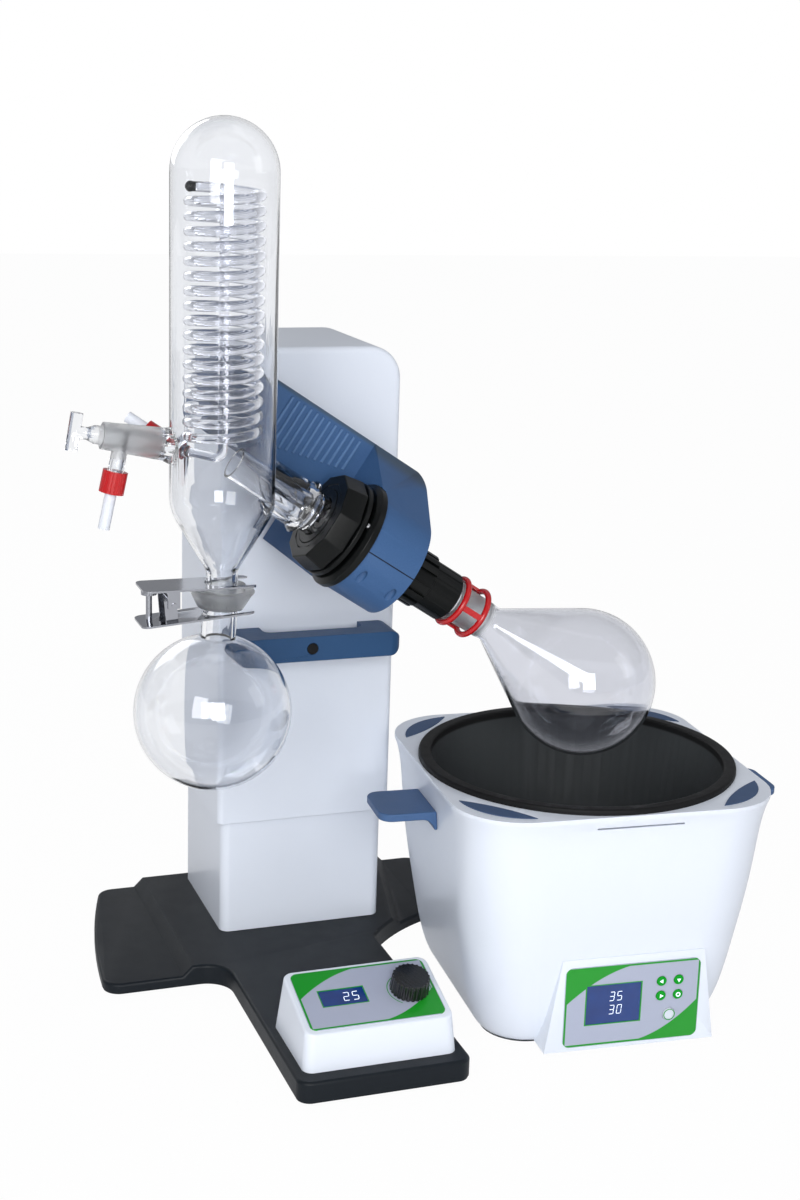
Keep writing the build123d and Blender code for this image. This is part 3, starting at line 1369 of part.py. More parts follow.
box_outside = box_form(0)
box_inside = box_form(BOX_WALL)
with BuildPart() as control_box_housing:
    add(box_outside)
    add(box_inside, mode=Mode.SUBTRACT)
    with BuildSketch(BOX_TOP):
        with Locations((SPEED_X, SPEED_Y)):
            Circle(SPINDLE_RADIUS + RUNNING)
        with Locations(DISPLAY[:2]):
            Rectangle(DISPLAY[2], DISPLAY[3])
    extrude(amount=-2 * BOX_WALL, mode=Mode.SUBTRACT)
finish(control_box_housing, "control_box_housing")

with BuildPart() as control_panel_plate:
    with BuildSketch(BOX_TOP):
        RectangleRounded(PANEL_WIDTH, PANEL_LENGTH, PANEL_CORNER)
        with Locations((SPEED_X, SPEED_Y)):
            Circle(SPINDLE_RADIUS + RUNNING, mode=Mode.SUBTRACT)
        with Locations(DISPLAY[:2]):
            Rectangle(DISPLAY[2], DISPLAY[3], mode=Mode.SUBTRACT)
    extrude(amount=PANEL_THICK)
finish(control_panel_plate, "control_panel_plate")

with BuildPart() as control_display:
    with BuildSketch(BOX_TOP.offset(-BOX_WALL)):
        with Locations(DISPLAY[:2]):
            Rectangle(DISPLAY[2], DISPLAY[3])
    extrude(amount=BOX_WALL + PANEL_THICK / 2)
finish(control_display, "control_display")

with BuildPart() as speed_pot:
    with BuildSketch(BOX_TOP.offset(-BOX_WALL)):
        with Locations((SPEED_X, SPEED_Y)):
            Circle(POT_RADIUS)
            Circle(SPINDLE_RADIUS + RUNNING, mode=Mode.SUBTRACT)
    extrude(amount=-POT_HEIGHT)
finish(speed_pot, "speed_pot")

with BuildPart() as speed_knob:
    with BuildSketch(BOX_TOP.offset(PANEL_THICK + JOINT_GAP)):
        with Locations((SPEED_X, SPEED_Y)):
            Circle(SPEED_KNOB_RADIUS)
            with PolarLocations(SPEED_KNOB_RADIUS, KNOB_RIDGES):
                Circle(RIDGE_RADIUS, mode=Mode.SUBTRACT)
    extrude(amount=SPEED_KNOB_HEIGHT, taper=KNOB_DRAFT)
    fillet(speed_knob.faces().sort_by(Axis(BOX_TOP.origin, BOX_TOP.z_dir))[-1].edges(), RIDGE_RADIUS / 2)
    with BuildSketch(BOX_TOP.offset(-BOX_WALL - POT_HEIGHT)):
        with Locations((SPEED_X, SPEED_Y)):
            Circle(SPINDLE_RADIUS)
    extrude(amount=BOX_WALL + POT_HEIGHT + SPEED_KNOB_HEIGHT / 2)
finish(speed_knob, "speed_knob")


# Heating bath, standing on its own feet beside the arm

def bath_form(inset, top):
    """The bath's tapered body, drawn in by inset, up to a height."""
    with BuildPart() as form:
        for level, half, corner in BATH_SECTIONS[:-1] + ((top, *BATH_SECTIONS[-1][1:]),):
            with BuildSketch(BATH.offset(level)):
                RectangleRounded(2 * (half - inset), 2 * (half - inset), corner - inset)
        loft()
    return form.part


BATH_TOP = BATH_SECTIONS[-1][0]
bath_low = BATH_SECTIONS[0][0]
pad_level = BATH_TOP + PAD_PROUD - PAD_THICK
bath_outside = bath_form(0, BATH_TOP)
bath_inside = bath_form(BATH_WALL, BATH_TOP)
BATH_FRONT = Plane(origin=BATH.origin - BATH.y_dir * MODULE_FACE, x_dir=BATH.x_dir, z_dir=-BATH.y_dir)
BATH_SIDE = Plane(origin=BATH.origin, x_dir=BATH.x_dir, z_dir=-BATH.y_dir)
panel_place = (MODULE_X, BATH_PANEL_Z)
display_place = (MODULE_X + BATH_DISPLAY[0], BATH_PANEL_Z + BATH_DISPLAY[1])
key_places = {name: (MODULE_X + x, BATH_PANEL_Z + z, radius) for name, (x, z, radius) in KEYS.items()}
key_pocket = KEY_LENGTH + KEY_TRAVEL - KEY_PROUD + PANEL_THICK


def pad_face(level, grow):
    """The four crescents at the corners of the bath's top, grown a little, at a height."""
    inner, outer = PAD_INNER - grow, PAD_OUTER + grow
    with BuildSketch(BATH.offset(level)) as pads:
        with PolarLocations(0, 4, start_angle=45):
            with BuildSketch(mode=Mode.PRIVATE) as pad:
                half = radians(PAD_ANGLE / 2)
                tip = ((inner + outer) / 2 * cos(half), (inner + outer) / 2 * sin(half))
                with BuildLine():
                    ThreePointArc((tip[0], -tip[1]), (outer, 0), tip)
                    ThreePointArc(tip, (inner, 0), (tip[0], -tip[1]))
                make_face()
            add(pad.sketch)
    return pads.sketch


brim_width = 2 * BATH_SECTIONS[-1][1] - BATH_WALL
foot_width = 2 * (BATH_SECTIONS[0][1] - PLATE_INSET)
with BuildPart() as bath_housing:
    add(bath_outside)
    fillet(bath_housing.faces().sort_by(Axis.Z)[-1].edges(), BRIM_EDGE)
    with BuildSketch(BATH_FRONT):
        Polygon(
            (MODULE_X - MODULE_FOOT_HALF, bath_low),
            (MODULE_X + MODULE_FOOT_HALF, bath_low),
            (MODULE_X + MODULE_HALF, MODULE_TOP),
            (MODULE_X - MODULE_HALF, MODULE_TOP),
        )
    extrude(amount=MODULE_BACK - MODULE_FACE)
    add(bath_inside, mode=Mode.SUBTRACT)
    with BuildSketch(BATH.offset(BATH_TOP)):
        RectangleRounded(brim_width, brim_width, BATH_SECTIONS[-1][2] - BATH_WALL / 2)
        Circle(RIM_RADIUS - RIM_WIDTH + BASIN_WALL + BASIN_CLEAR, mode=Mode.SUBTRACT)
    extrude(amount=-BATH_WALL)
    extrude(pad_face(pad_level, 0), amount=PAD_THICK, dir=(0, 0, 1), mode=Mode.SUBTRACT)
    with BuildSketch(BATH_SIDE):
        with Locations((SLIT_X, SLIT_Z)):
            Rectangle(SLIT_LENGTH, SLIT_HEIGHT)
    extrude(amount=2 * MODULE_FACE, mode=Mode.SUBTRACT)
    with BuildSketch(BATH_FRONT):
        with Locations(display_place):
            Rectangle(BATH_DISPLAY[2], BATH_DISPLAY[3])
        for x, z, radius in key_places.values():
            with Locations((x, z)):
                Circle(radius + KEY_GAP)
    extrude(amount=-key_pocket, mode=Mode.SUBTRACT)
finish(bath_housing, "bath_housing")

with BuildPart() as bath_basin:
    inner = RIM_RADIUS - RIM_WIDTH
    outer = inner + BASIN_WALL
    under = BASIN_FLOOR - BASIN_WALL
    with BuildSketch(BATH_SIDE):
        with BuildLine():
            Polyline(
                (0, under),
                (BASIN_FOOT - BASIN_CORNER, under),
                (BASIN_FOOT, under + BASIN_CORNER),
                (outer, BATH_TOP),
                (RIM_RADIUS, BATH_TOP),
                (RIM_RADIUS, BATH_TOP + RIM_PROUD),
                (inner, BATH_TOP + RIM_PROUD),
                (BASIN_FOOT - BASIN_WALL, BASIN_FLOOR + BASIN_CORNER),
                (BASIN_FOOT - BASIN_WALL - BASIN_CORNER, BASIN_FLOOR),
                (0, BASIN_FLOOR),
                (0, under),
            )
        make_face()
    revolve(axis=BATH_AXIS)
    fillet(bath_basin.edges().group_by(Axis.Z)[-1], RIM_EDGE)
finish(bath_basin, "bath_basin")

with BuildPart() as bath_pads:
    extrude(pad_face(pad_level, -JOINT_GAP), amount=PAD_THICK, dir=(0, 0, 1))
finish(bath_pads, "bath_pads")

with BuildPart() as bath_handles:
    reach, top, thick = BATH_HANDLE_REACH, BATH_HANDLE_TOP, BATH_HANDLE_THICK
    root = BATH_SECTIONS[-2][1] - BATH_HANDLE_ROOT_THICK
    for side in (-1, 1):
        with BuildSketch(BATH_SIDE):
            with BuildLine():
                bend = (side * (BATH_SECTIONS[-2][1] + BATH_HANDLE_ROOT_THICK + thick), top - thick)
                low = (side * (BATH_SECTIONS[-2][1] + BATH_HANDLE_ROOT_THICK / 2), top - BATH_HANDLE_ROOT)
                Polyline(low, (side * root, top - BATH_HANDLE_ROOT), (side * root, top), (side * reach, top))
                Polyline((side * reach, top), (side * reach, top - thick), bend)
                TangentArc(bend, low, tangent=(-side, 0))
            make_face()
        extrude(amount=BATH_HANDLE_WIDTH / 2, both=True)
    upright_edges = bath_handles.edges().filter_by(Axis.Z)
    fillet([e for e in upright_edges if abs(BATH.to_local_coords(e.center()).X) > reach - 1], BATH_HANDLE_CORNER)
    add(bath_outside, mode=Mode.SUBTRACT)
finish(bath_handles, "bath_handles")

with BuildPart() as bath_heater:
    with BuildSketch(BATH.offset(BASIN_FLOOR - BASIN_WALL - HEATER_THICK)):
        Circle(HEATER_RADIUS)
    extrude(amount=HEATER_THICK)
    chamfer(bath_heater.edges().sort_by(Axis.Z)[0], HEATER_THICK / 3)
finish(bath_heater, "bath_heater")

with BuildPart() as bath_bottom_plate:
    with BuildSketch(BATH.offset(BATH_FOOT)):
        RectangleRounded(foot_width, foot_width, BATH_SECTIONS[0][2] - PLATE_INSET)
    extrude(amount=BATH_PLATE)
    with BuildSketch(BATH):
        with GridLocations(2 * BATH_FOOT_PLACE, 2 * BATH_FOOT_PLACE, 2, 2):
            Circle(BATH_FOOT_RADIUS)
    extrude(amount=BATH_FOOT)
finish(bath_bottom_plate, "bath_bottom_plate")

with BuildPart() as bath_panel_plate:
    with BuildSketch(BATH_FRONT):
        with Locations(panel_place):
            RectangleRounded(*BATH_PANEL, PANEL_CORNER)
        with Locations(display_place):
            Rectangle(BATH_DISPLAY[2], BATH_DISPLAY[3], mode=Mode.SUBTRACT)
        for x, z, radius in key_places.values():
            with Locations((x, z)):
                Circle(radius + KEY_GAP, mode=Mode.SUBTRACT)
    extrude(amount=PANEL_THICK)
finish(bath_panel_plate, "bath_panel_plate")

with BuildPart() as bath_display:
    with BuildSketch(BATH_FRONT.offset(PANEL_THICK / 2)):
        with Locations(display_place):
            Rectangle(BATH_DISPLAY[2], BATH_DISPLAY[3])
    extrude(amount=-key_pocket)
finish(bath_display, "bath_display")

for name, (x, z, radius) in key_places.items():
    with BuildPart() as key:
        with BuildSketch(BATH_FRONT.offset(PANEL_THICK + KEY_PROUD)):
            with Locations((x, z)):
                Circle(radius)
        extrude(amount=-KEY_LENGTH)
    finish(key, f"bath_key_{name}")
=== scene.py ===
import json
from functools import cache
from math import acos, atan2, cos, degrees, hypot, pi, radians, sin

import bmesh
import bpy
from mathutils import Matrix, Vector

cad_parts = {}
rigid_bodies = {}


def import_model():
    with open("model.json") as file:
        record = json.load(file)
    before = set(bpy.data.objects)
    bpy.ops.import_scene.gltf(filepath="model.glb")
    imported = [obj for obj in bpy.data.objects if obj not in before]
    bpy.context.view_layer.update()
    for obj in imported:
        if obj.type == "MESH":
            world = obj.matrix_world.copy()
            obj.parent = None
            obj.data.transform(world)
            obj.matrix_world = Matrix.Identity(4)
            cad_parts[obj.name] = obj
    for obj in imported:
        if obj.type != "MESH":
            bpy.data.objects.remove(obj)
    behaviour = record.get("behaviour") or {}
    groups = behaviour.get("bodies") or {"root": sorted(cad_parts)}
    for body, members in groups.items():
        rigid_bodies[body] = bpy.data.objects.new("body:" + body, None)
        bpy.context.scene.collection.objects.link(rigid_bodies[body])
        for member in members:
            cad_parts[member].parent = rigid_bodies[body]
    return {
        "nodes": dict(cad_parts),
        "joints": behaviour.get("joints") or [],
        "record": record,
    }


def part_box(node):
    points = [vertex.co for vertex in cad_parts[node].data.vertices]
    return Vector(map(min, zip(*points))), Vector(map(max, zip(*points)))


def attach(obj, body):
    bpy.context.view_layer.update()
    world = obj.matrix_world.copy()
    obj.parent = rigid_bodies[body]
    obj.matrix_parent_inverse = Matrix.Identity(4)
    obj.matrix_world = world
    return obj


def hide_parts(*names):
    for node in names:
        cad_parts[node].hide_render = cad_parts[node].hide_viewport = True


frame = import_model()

bl_info = {
    "name": "Rotary evaporator dresser",
    "version": (1, 0, 0),
    "blender": (4, 5, 0),
    "location": "View3D > Sidebar > Evaporator",
    "description": "Finishes and fine pieces for a bench rotary evaporator, fitted to its packed model",
    "category": "Object",
}

for left_over in [item for item in bpy.data.objects if item.name in ("Cube", "Light", "Camera")]:
    bpy.data.objects.remove(left_over)
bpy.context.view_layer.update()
JOINTS = {joint["name"]: joint for joint in frame["joints"]}
BODY_OF = {node: body for body, nodes in frame["record"]["behaviour"]["bodies"].items() for node in nodes}
ACROSS = Vector((1, 0, 0))
UPWARD = Vector((0, 0, 1))
WHITE = (1, 1, 1, 1)


def axis_frame(joint):
    """Matrix at a joint: X runs along its axis, and Z is the upward direction across it."""
    x = Vector(JOINTS[joint]["axis"]).normalized()
    y = UPWARD.cross(x).normalized()
    matrix = Matrix((x, y, x.cross(y))).transposed().to_4x4()
    matrix.translation = Vector(JOINTS[joint]["pos_m"])
    return matrix


DRIVE = axis_frame("flask_spin")
COCK = axis_frame("stopcock_turn")
ALONG = DRIVE.col[0].xyz
ABOVE = DRIVE.col[2].xyz
FLASK_CENTRE = DRIVE.translation

# Camera, floor and light

VIEW_FROM = (-0.5052, -1.696, 0.7901)
VIEW_YAW, VIEW_PITCH, VIEW_ROLL = 0.3516, 0.2552, 0.03242
VIEW_LENS, VIEW_SENSOR = 57.27, 36.0
VIEW = Vector((sin(VIEW_YAW) * cos(VIEW_PITCH), cos(VIEW_YAW) * cos(VIEW_PITCH), -sin(VIEW_PITCH)))
FLOOR_HALF = 8.0
FLOOR_SEEN = {"Camera": 0.97, "Transmission": 0.9, "Glossy": 0.35}
ROOM_COLOUR, ROOM_STRENGTH = (0.93, 0.95, 1.0, 1), 0.42
BRIGHT_AHEAD, BRIGHT_SOFT, BRIGHT_LEAST = 0.68, 0.3, 0.06
LAMPS = (
    ("softbox_left", (-1.4, -2.1, 1.2), (0, -0.2, 0.35), (0.9, 1.3), 22.0),
    ("softbox_right", (1.9, -1.3, 1.3), (0.1, -0.2, 0.3), (0.8, 1.2), 3.0),
    ("softbox_front", (-0.4, -2.8, 1.1), (0, 0, 0.35), (0.9, 1.2), 36.0),
    ("softbox_top", (0.1, -0.3, 2.3), (0, -0.1, 0.3), (1.4, 1.1), 1.5),
    ("softbox_back", (-0.6, 1.7, 1.3), (0, 0, 0.4), (1.2, 1.0), 7.0),
)

# Drive head: places along its axis, above it and in front of it

# Where the ribbed front face lies, which the head's finish paints lighter as painted light
RIB_FACE, RIB_END, RIBS_FROM = -0.0474, -0.0455, 0.279
SEAM_LEVEL, SEAM_HALF = -0.002, 0.0005
# Where the painted shade on the head's upper side begins, and how far it leans to the front
PAINTED_SHADE_LEVEL, PAINTED_SHADE_SLOPE = 0.0575, 0.35

# Coupling: places along the drive's axis, and distances from it

FLANGE_FACE = 0.2684
FLANGE_SCREW_ANGLES = (38, 158, 278)
FLANGE_SCREW_CIRCLE, FLANGE_SCREW_HIGH = 0.0405, 0.0024
NUT_FLATS = 10
NUT_COLLAR = [
    (0.2721, 0.029), (0.2721, 0.0434), (0.2758, 0.0434), (0.2764, 0.0425), (0.2764, 0.030),
    (0.2960, 0.030), (0.2960, 0.0256), (0.2923, 0.0256), (0.2923, 0.029),
]
NUT_GRIP = [(0.2772, 0.0305), (0.2772, 0.0434), (0.2800, 0.0434), (0.2963, 0.0402), (0.2963, 0.0305)]

# Glass

FLASK_OUTER, FLASK_INNER = 0.0655, 0.0635
NECK_START, NECK_OUTER, NECK_INNER = 0.108, 0.0155, 0.0135
NECK = [
    (NECK_START, NECK_OUTER), (0.118, 0.0165), (0.1478, 0.0165), (0.1482, 0.0182), (0.1518, 0.0182),
    (0.152, 0.0146), (0.118, 0.0129), (NECK_START, NECK_INNER),
]
GROUND_FROM, GROUND_TO = 0.116, 0.152
BARREL_RADIUS, BARREL_START = 0.017, 0.004
PLUG_GROUND_TO = 0.054
BALL_TOP, CUP_BOTTOM = 0.4045, 0.3855
LEAD_END_RADIUS = 0.014

# Panels and displays

DISPLAY_HEIGHTS = {"control_display": 0.0186, "bath_display": 0.036}
BORDER_OUTSIDE, BORDER_INSIDE = -0.0004, -0.0022
TOP_CORNER_LONG, TOP_CORNER_DEEP, LOW_CORNER_LONG = 1.25, 0.95, 1.15
WINDOW_FRAME = 0.0009
RING_INSIDE, RING_OUTSIDE, RING_GAP = 0.0186, 0.0194, 0.011
DISPLAY_ROWS = 9000
SPEED_NUMBER, SPEED_DIGIT_HEIGHT, SPEED_LIFT, SPEED_TO_RIGHT = "25", 0.0102, 0.0004, 0.007
BATH_NUMBERS = (("35", 0.0068), ("30", -0.0056))
BATH_DIGIT_HEIGHT, BATH_LIFT, BATH_TO_RIGHT = 0.0086, 0.0003, 0.002
KNOB_FACE, KNOB_TURNED = 0.01485, 40
POINTER_OUT, POINTER_LONG, POINTER_WIDE, POINTER_RAISED = 0.0095, 0.0095, 0.0012, 0.0002
SIGN_RADIUS, SIGN_RAISED, SIGN_LIFT = 0.0021, 0.00015, 0.00002
KEY_SIGNS = {
    "up": (3, SIGN_RADIUS, 0, pi / 2),
    "left": (3, SIGN_RADIUS, 0, pi),
    "down": (3, SIGN_RADIUS, 0, -pi / 2),
    "enter": (24, SIGN_RADIUS, 0.0012, 0),
    "menu": (48, 0.0052, 0.0045, 0),
}

# Heating bath

RIM_DEPTH, RIM_FADE = 0.0065, 0.0012


# Shader values and finishes

class Value:
    """A shader socket: an expression on it adds its Math nodes."""

    def __init__(self, finish, socket):
        self.finish = finish
        self.socket = socket

    def math(self, operation, *values):
        return self.finish.node("ShaderNodeMath", {"operation": operation}, dict(enumerate(values)))

    def __add__(self, other):
        return self.math("ADD", self, other)

    def __radd__(self, other):
        return self.math("ADD", other, self)

    def __sub__(self, other):
        return self.math("SUBTRACT", self, other)

    def __rsub__(self, other):
        return self.math("SUBTRACT", other, self)

    def __mul__(self, other):
        return self.math("MULTIPLY", self, other)

    def __rmul__(self, other):
        return self.math("MULTIPLY", other, self)

    def __truediv__(self, other):
        return self.math("DIVIDE", self, other)

    def __abs__(self):
        return self.math("ABSOLUTE", self)

    def above(self, edge, soft=0.0002):
        """1 where the value is over edge, 0 under it, with a soft step between."""
        return self.finish.node(
            "ShaderNodeMapRange",
            {"interpolation_type": "SMOOTHSTEP"},
            {"Value": self, "From Min": edge - soft, "From Max": edge + soft},
        )

    def below(self, edge, soft=0.0002):
        return 1 - self.above(edge, soft=soft)

    def most(self, other):
        return self.math("MAXIMUM", self, other)

    def least(self, other):
        return self.math("MINIMUM", self, other)


class Nodes:
    """A shader tree that is put together node by node."""

    def __init__(self, tree):
        self.tree = tree

    def node(self, kind, settings=None, inputs=None, output=0):
        """Adds a node: its settings first, then its sockets' values or links."""
        made = self.tree.nodes.new(kind)
        for name, value in (settings or {}).items():
            setattr(made, name, value)
        for name, value in (inputs or {}).items():
            self.plug(made.inputs[name], value)
        return Value(self, made.outputs[output])

    def plug(self, socket, value):
        if isinstance(value, Value):
            self.tree.links.new(value.socket, socket)
        else:
            socket.default_value = value

    def ray(self, kind):
        """1 for rays of a kind, such as Camera, and 0 for the rest."""
        return self.node("ShaderNodeLightPath", output=f"Is {kind} Ray")

    def blend(self, factor, first, second, output):
        """Ends the tree in a mix of two shaders."""
        blended = self.node("ShaderNodeMixShader", None, {0: factor, 1: first, 2: second})
        self.plug(self.tree.nodes[output].inputs["Surface"], blended)


class Finish(Nodes):
    """A material with its main shader."""

    def __init__(self, name):
        self.material = bpy.data.materials.new(name)
        self.material.use_nodes = True
        super().__init__(self.material.node_tree)
        self.shader = self.tree.nodes["Principled BSDF"]

    def set(self, **values):
        """Sets the shader's sockets by name, with spaces as underscores."""
        for name, value in values.items():
            self.plug(self.shader.inputs[name.replace("_", " ")], value)

    def place(self):
        return self.node("ShaderNodeTexCoord", output=3)

    def along(self, origin, direction):
        """Distance from a point along a direction, in metres."""
        settings = {"operation": "DOT_PRODUCT"}
        inputs = {0: self.place(), 1: tuple(direction)}
        return self.node("ShaderNodeVectorMath", settings, inputs, output=1) - Vector(origin).dot(direction)

    def distance(self, origin):
        settings = {"operation": "DISTANCE"}
        return self.node("ShaderNodeVectorMath", settings, {0: self.place(), 1: tuple(origin)}, output=1)

    def noise(self, scale, detail=2.0, stretch=None):
        place = self.place()
        if stretch:
            place = self.node("ShaderNodeMapping", None, {"Vector": place, "Scale": stretch})
        return self.node("ShaderNodeTexNoise", None, {"Vector": place, "Scale": scale, "Detail": detail})

    def cells(self, scale):
        return self.node("ShaderNodeTexVoronoi", None, {"Vector": self.place(), "Scale": scale})

    def mix(self, factor, first, second):
        """Mixes two colours."""
        settings = {"data_type": "RGBA"}
        return self.node("ShaderNodeMix", settings, {0: factor, 6: first, 7: second}, output=2)

    def bump(self, height, depth, strength=1.0):
        inputs = {"Height": height, "Distance": depth, "Strength": strength}
        return self.node("ShaderNodeBump", None, inputs)


def linear(value):
    """A screen value, 0 to 255, as the shader's linear one."""
    if value <= 10:
        return value / 255 / 12.92
    return ((value / 255 + 0.055) / 1.055) ** 2.4


def rgb(red, green, blue):
    return (linear(red), linear(green), linear(blue), 1.0)


def shade(colour, share):
    return tuple(v * share for v in colour[:3]) + (1.0,)


def painted(name, colour, rough=0.32, peel=900.0):
    """Gloss paint or smooth moulding: a faint orange peel and a slow drift of tone."""
    finish = Finish(name)
    drift = finish.noise(9.0, detail=3.0)
    finish.set(
        Base_Color=finish.mix(drift, shade(colour, 0.955), colour),
        Roughness=rough + 0.08 * finish.noise(30.0, detail=4.0),
        Normal=finish.bump(finish.noise(peel, detail=1.0), depth=0.00004),
        Specular_IOR_Level=0.5,
        Coat_Weight=0.25,
        Coat_Roughness=0.12,
    )
    return finish


def grained(name, colour, rough=0.5, grain=1500.0, depth=0.00012):
    """Moulded plastic with the fine grain of an etched mould."""
    finish = Finish(name)
    speckle = finish.noise(grain, detail=3.0)
    tone = finish.mix(speckle, shade(colour, 0.82), shade(colour, 1.16))
    finish.set(
        Base_Color=finish.mix(finish.noise(14.0, detail=3.0), tone, shade(colour, 1.05)),
        Roughness=rough - 0.06 + 0.14 * finish.noise(45.0, detail=4.0),
        Normal=finish.bump(finish.cells(grain) + speckle, depth=depth, strength=0.6),
        Specular_IOR_Level=0.2,
    )
    return finish


def metal(name, colour, rough=0.2, streak=None):
    """Bare or plated metal with the marks of its turning or grinding."""
    finish = Finish(name)
    marks = finish.noise(420.0, detail=3.0, stretch=streak or (1, 1, 1))
    finish.set(
        Base_Color=finish.mix(marks, shade(colour, 0.9), colour),
        Metallic=1.0,
        Roughness=rough - 0.03 + 0.1 * marks,
        Normal=finish.bump(marks, depth=0.00002, strength=0.5),
    )
    return finish


def glassy(name, frosted=None, tint=(0.95, 0.96, 0.98, 1.0)):
    """Clear laboratory glass; frosted gives the mask of its ground or milky stretches."""
    finish = Finish(name)
    finish.set(
        Base_Color=tint,
        Transmission_Weight=1.0,
        IOR=1.47,
        Roughness=0.0,
        Normal=finish.bump(finish.noise(22.0, detail=1.0), depth=0.00025, strength=0.25),
    )
    if frosted:
        mask = frosted(finish)
        ground = finish.noise(1400.0, detail=2.0)
        finish.set(
            Base_Color=finish.mix(mask, tint, (0.86, 0.87, 0.88, 1.0)),
            Roughness=mask * (0.42 + 0.16 * ground),
        )
    return finish


# Shapes

def arc(radius, start, end, steps=64):
    """Points of a round stretch of an outline about its origin, angles in degrees."""
    angles = [radians(start + (end - start) * step / steps) for step in range(steps + 1)]
    return [(radius * cos(angle), radius * sin(angle)) for angle in angles]


def degrees_to_neck(radius, x, z):
    """Where a line from a point beside a circle about the origin touches it, in degrees."""
    return degrees(acos(radius / hypot(x, z)) + atan2(z, x))


def turned(outline, matrix, steps):
    """Turns a closed outline of (along X, from the axis) about the X axis of a frame."""
    bm = bmesh.new()
    corners = [bm.verts.new((x, 0, z)) for x, z in outline]
    pairs = list(zip(corners, corners[1:] + corners[:1]))
    lines = [bm.edges.new(pair) for pair in pairs]
    bmesh.ops.spin(
        bm, geom=corners + lines, cent=(0, 0, 0), axis=(1, 0, 0), dvec=(0, 0, 0),
        angle=2 * pi, steps=steps, use_merge=True, use_duplicate=False,
    )
    bmesh.ops.remove_doubles(bm, verts=bm.verts, dist=1e-6)
    bmesh.ops.recalc_face_normals(bm, faces=bm.faces)
    bm.transform(matrix)
    return bm


def show(bm, name, finish, body, replaced=(), sharp=35.0, bevel=0.0, parts=2):
    """Makes a finished piece of a shape: smooth shaded, with eased edges, riding on its body."""
    mesh = bpy.data.meshes.new(name)
    for face in bm.faces:
        face.smooth = True
    bm.to_mesh(mesh)
    bm.free()
    mesh.set_sharp_from_angle(angle=radians(sharp))
    piece = bpy.data.objects.new(name, mesh)
    bpy.context.scene.collection.objects.link(piece)
    mesh.materials.append(finish.material)
    if bevel:
        rounding = piece.modifiers.new("edges", "BEVEL")
        rounding.limit_method = "ANGLE"
        rounding.angle_limit = radians(32)
        rounding.width = bevel
        rounding.segments = parts
        rounding.harden_normals = True
    else:
        shading = piece.modifiers.new("shading", "WEIGHTED_NORMAL")
        shading.keep_sharp = True
    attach(piece, body)
    if replaced:
        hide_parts(*replaced)


def copy_of(node, flat_joined):
    """The shape of a CAD node, with its triangles joined and its flat faces whole."""
    bm = bmesh.new()
    bm.from_mesh(frame["nodes"][node].data)
    bmesh.ops.remove_doubles(bm, verts=bm.verts, dist=2e-6)
    if flat_joined:
        bmesh.ops.dissolve_limit(
            bm, angle_limit=radians(0.6), use_dissolve_boundaries=False,
            verts=bm.verts, edges=bm.edges, delimit={"NORMAL"},
        )
    return bm


def dress(node, finish, bevel=0.0, sharp=35.0, parts=2, flat_joined=True):
    """Shows a CAD node as a smooth copy with eased edges and its finish."""
    finish_node(node, finish)
    show(
        copy_of(node, flat_joined), node + "_dressed", finish, BODY_OF[node], replaced=(node,),
        sharp=sharp, bevel=bevel, parts=parts,
    )


def finish_node(node, finish):
    """Gives a CAD node its finish."""
    slots = frame["nodes"][node].data.materials
    slots.clear()
    slots.append(finish.material)


# Finishes that carry a pattern

def printed_panel(name, node, across, up, windows, ring=None):
    """Silver film with a green border, two green corners, a frame round each window and a knob's ring."""
    finish = Finish(name)
    low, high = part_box(node)
    middle = (low + high) / 2
    half_wide = (high - low).dot(Vector((abs(across.x), abs(across.y), 0))) / 2
    half_high = abs((high - low).dot(up)) / 2
    x = finish.along(middle, across)
    y = finish.along(middle, up)
    inside = abs(x) - half_wide
    inside = inside.most(abs(y) - half_high)
    border = inside.above(BORDER_INSIDE) - inside.above(BORDER_OUTSIDE)
    left = 1 - (x + half_wide) / (TOP_CORNER_LONG * half_wide)
    right = 1 - (half_wide - x) / (LOW_CORNER_LONG * half_wide)
    top_corner = (y - half_high + TOP_CORNER_DEEP * half_high * left * left.most(0)).above(0)
    low_corner = (-half_high - y + half_high * right * right.most(0)).above(0)
    green = top_corner.least(left.above(0, soft=0.01)).most(low_corner.least(right.above(0, soft=0.01)))
    green = green.least(inside.below(BORDER_OUTSIDE)).most(border)
    for window in windows:
        low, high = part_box(window)
        centre = (low + high) / 2
        wide = (high - low).dot(Vector((abs(across.x), abs(across.y), 0))) / 2
        tall = DISPLAY_HEIGHTS[window] / 2
        edge = (abs(finish.along(centre, across)) - wide).most(abs(finish.along(centre, up)) - tall)
        green = green.most(edge.below(WINDOW_FRAME))
    if ring:
        away = finish.distance(ring)
        band = away.above(RING_INSIDE) - away.above(RING_OUTSIDE)
        green = green.most(band.least(abs(finish.along(ring, across)).above(RING_GAP)))
    flecks = finish.noise(2600.0, detail=1.0)
    silver = finish.mix(flecks, rgb(158, 164, 184), rgb(172, 178, 196))
    finish.set(
        Base_Color=finish.mix(green, silver, rgb(0, 142, 22)),
        Roughness=0.30 + 0.08 * flecks,
        Normal=finish.bump(flecks, depth=0.00002, strength=0.3),
        Coat_Weight=0.3,
        Coat_Roughness=0.1,
    )
    return finish


def lit_display(name, node, up):
    """A lit blue display with faint pixel rows."""
    finish = Finish(name)
    low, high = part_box(node)
    y = finish.along((low + high) / 2, up)
    rows = finish.node("ShaderNodeMath", {"operation": "SINE"}, {0: y * DISPLAY_ROWS})
    glow = finish.noise(60.0, detail=2.0)
    blue = finish.mix(glow, rgb(6, 30, 84), rgb(10, 56, 124))
    finish.set(
        Base_Color=finish.mix(0.5 + 0.06 * rows, blue, rgb(8, 40, 96)),
        Emission_Color=blue,
        Emission_Strength=0.3,
        Roughness=0.12 + 0.05 * glow,
        Coat_Weight=0.6,
        Coat_Roughness=0.03,
    )
    return finish


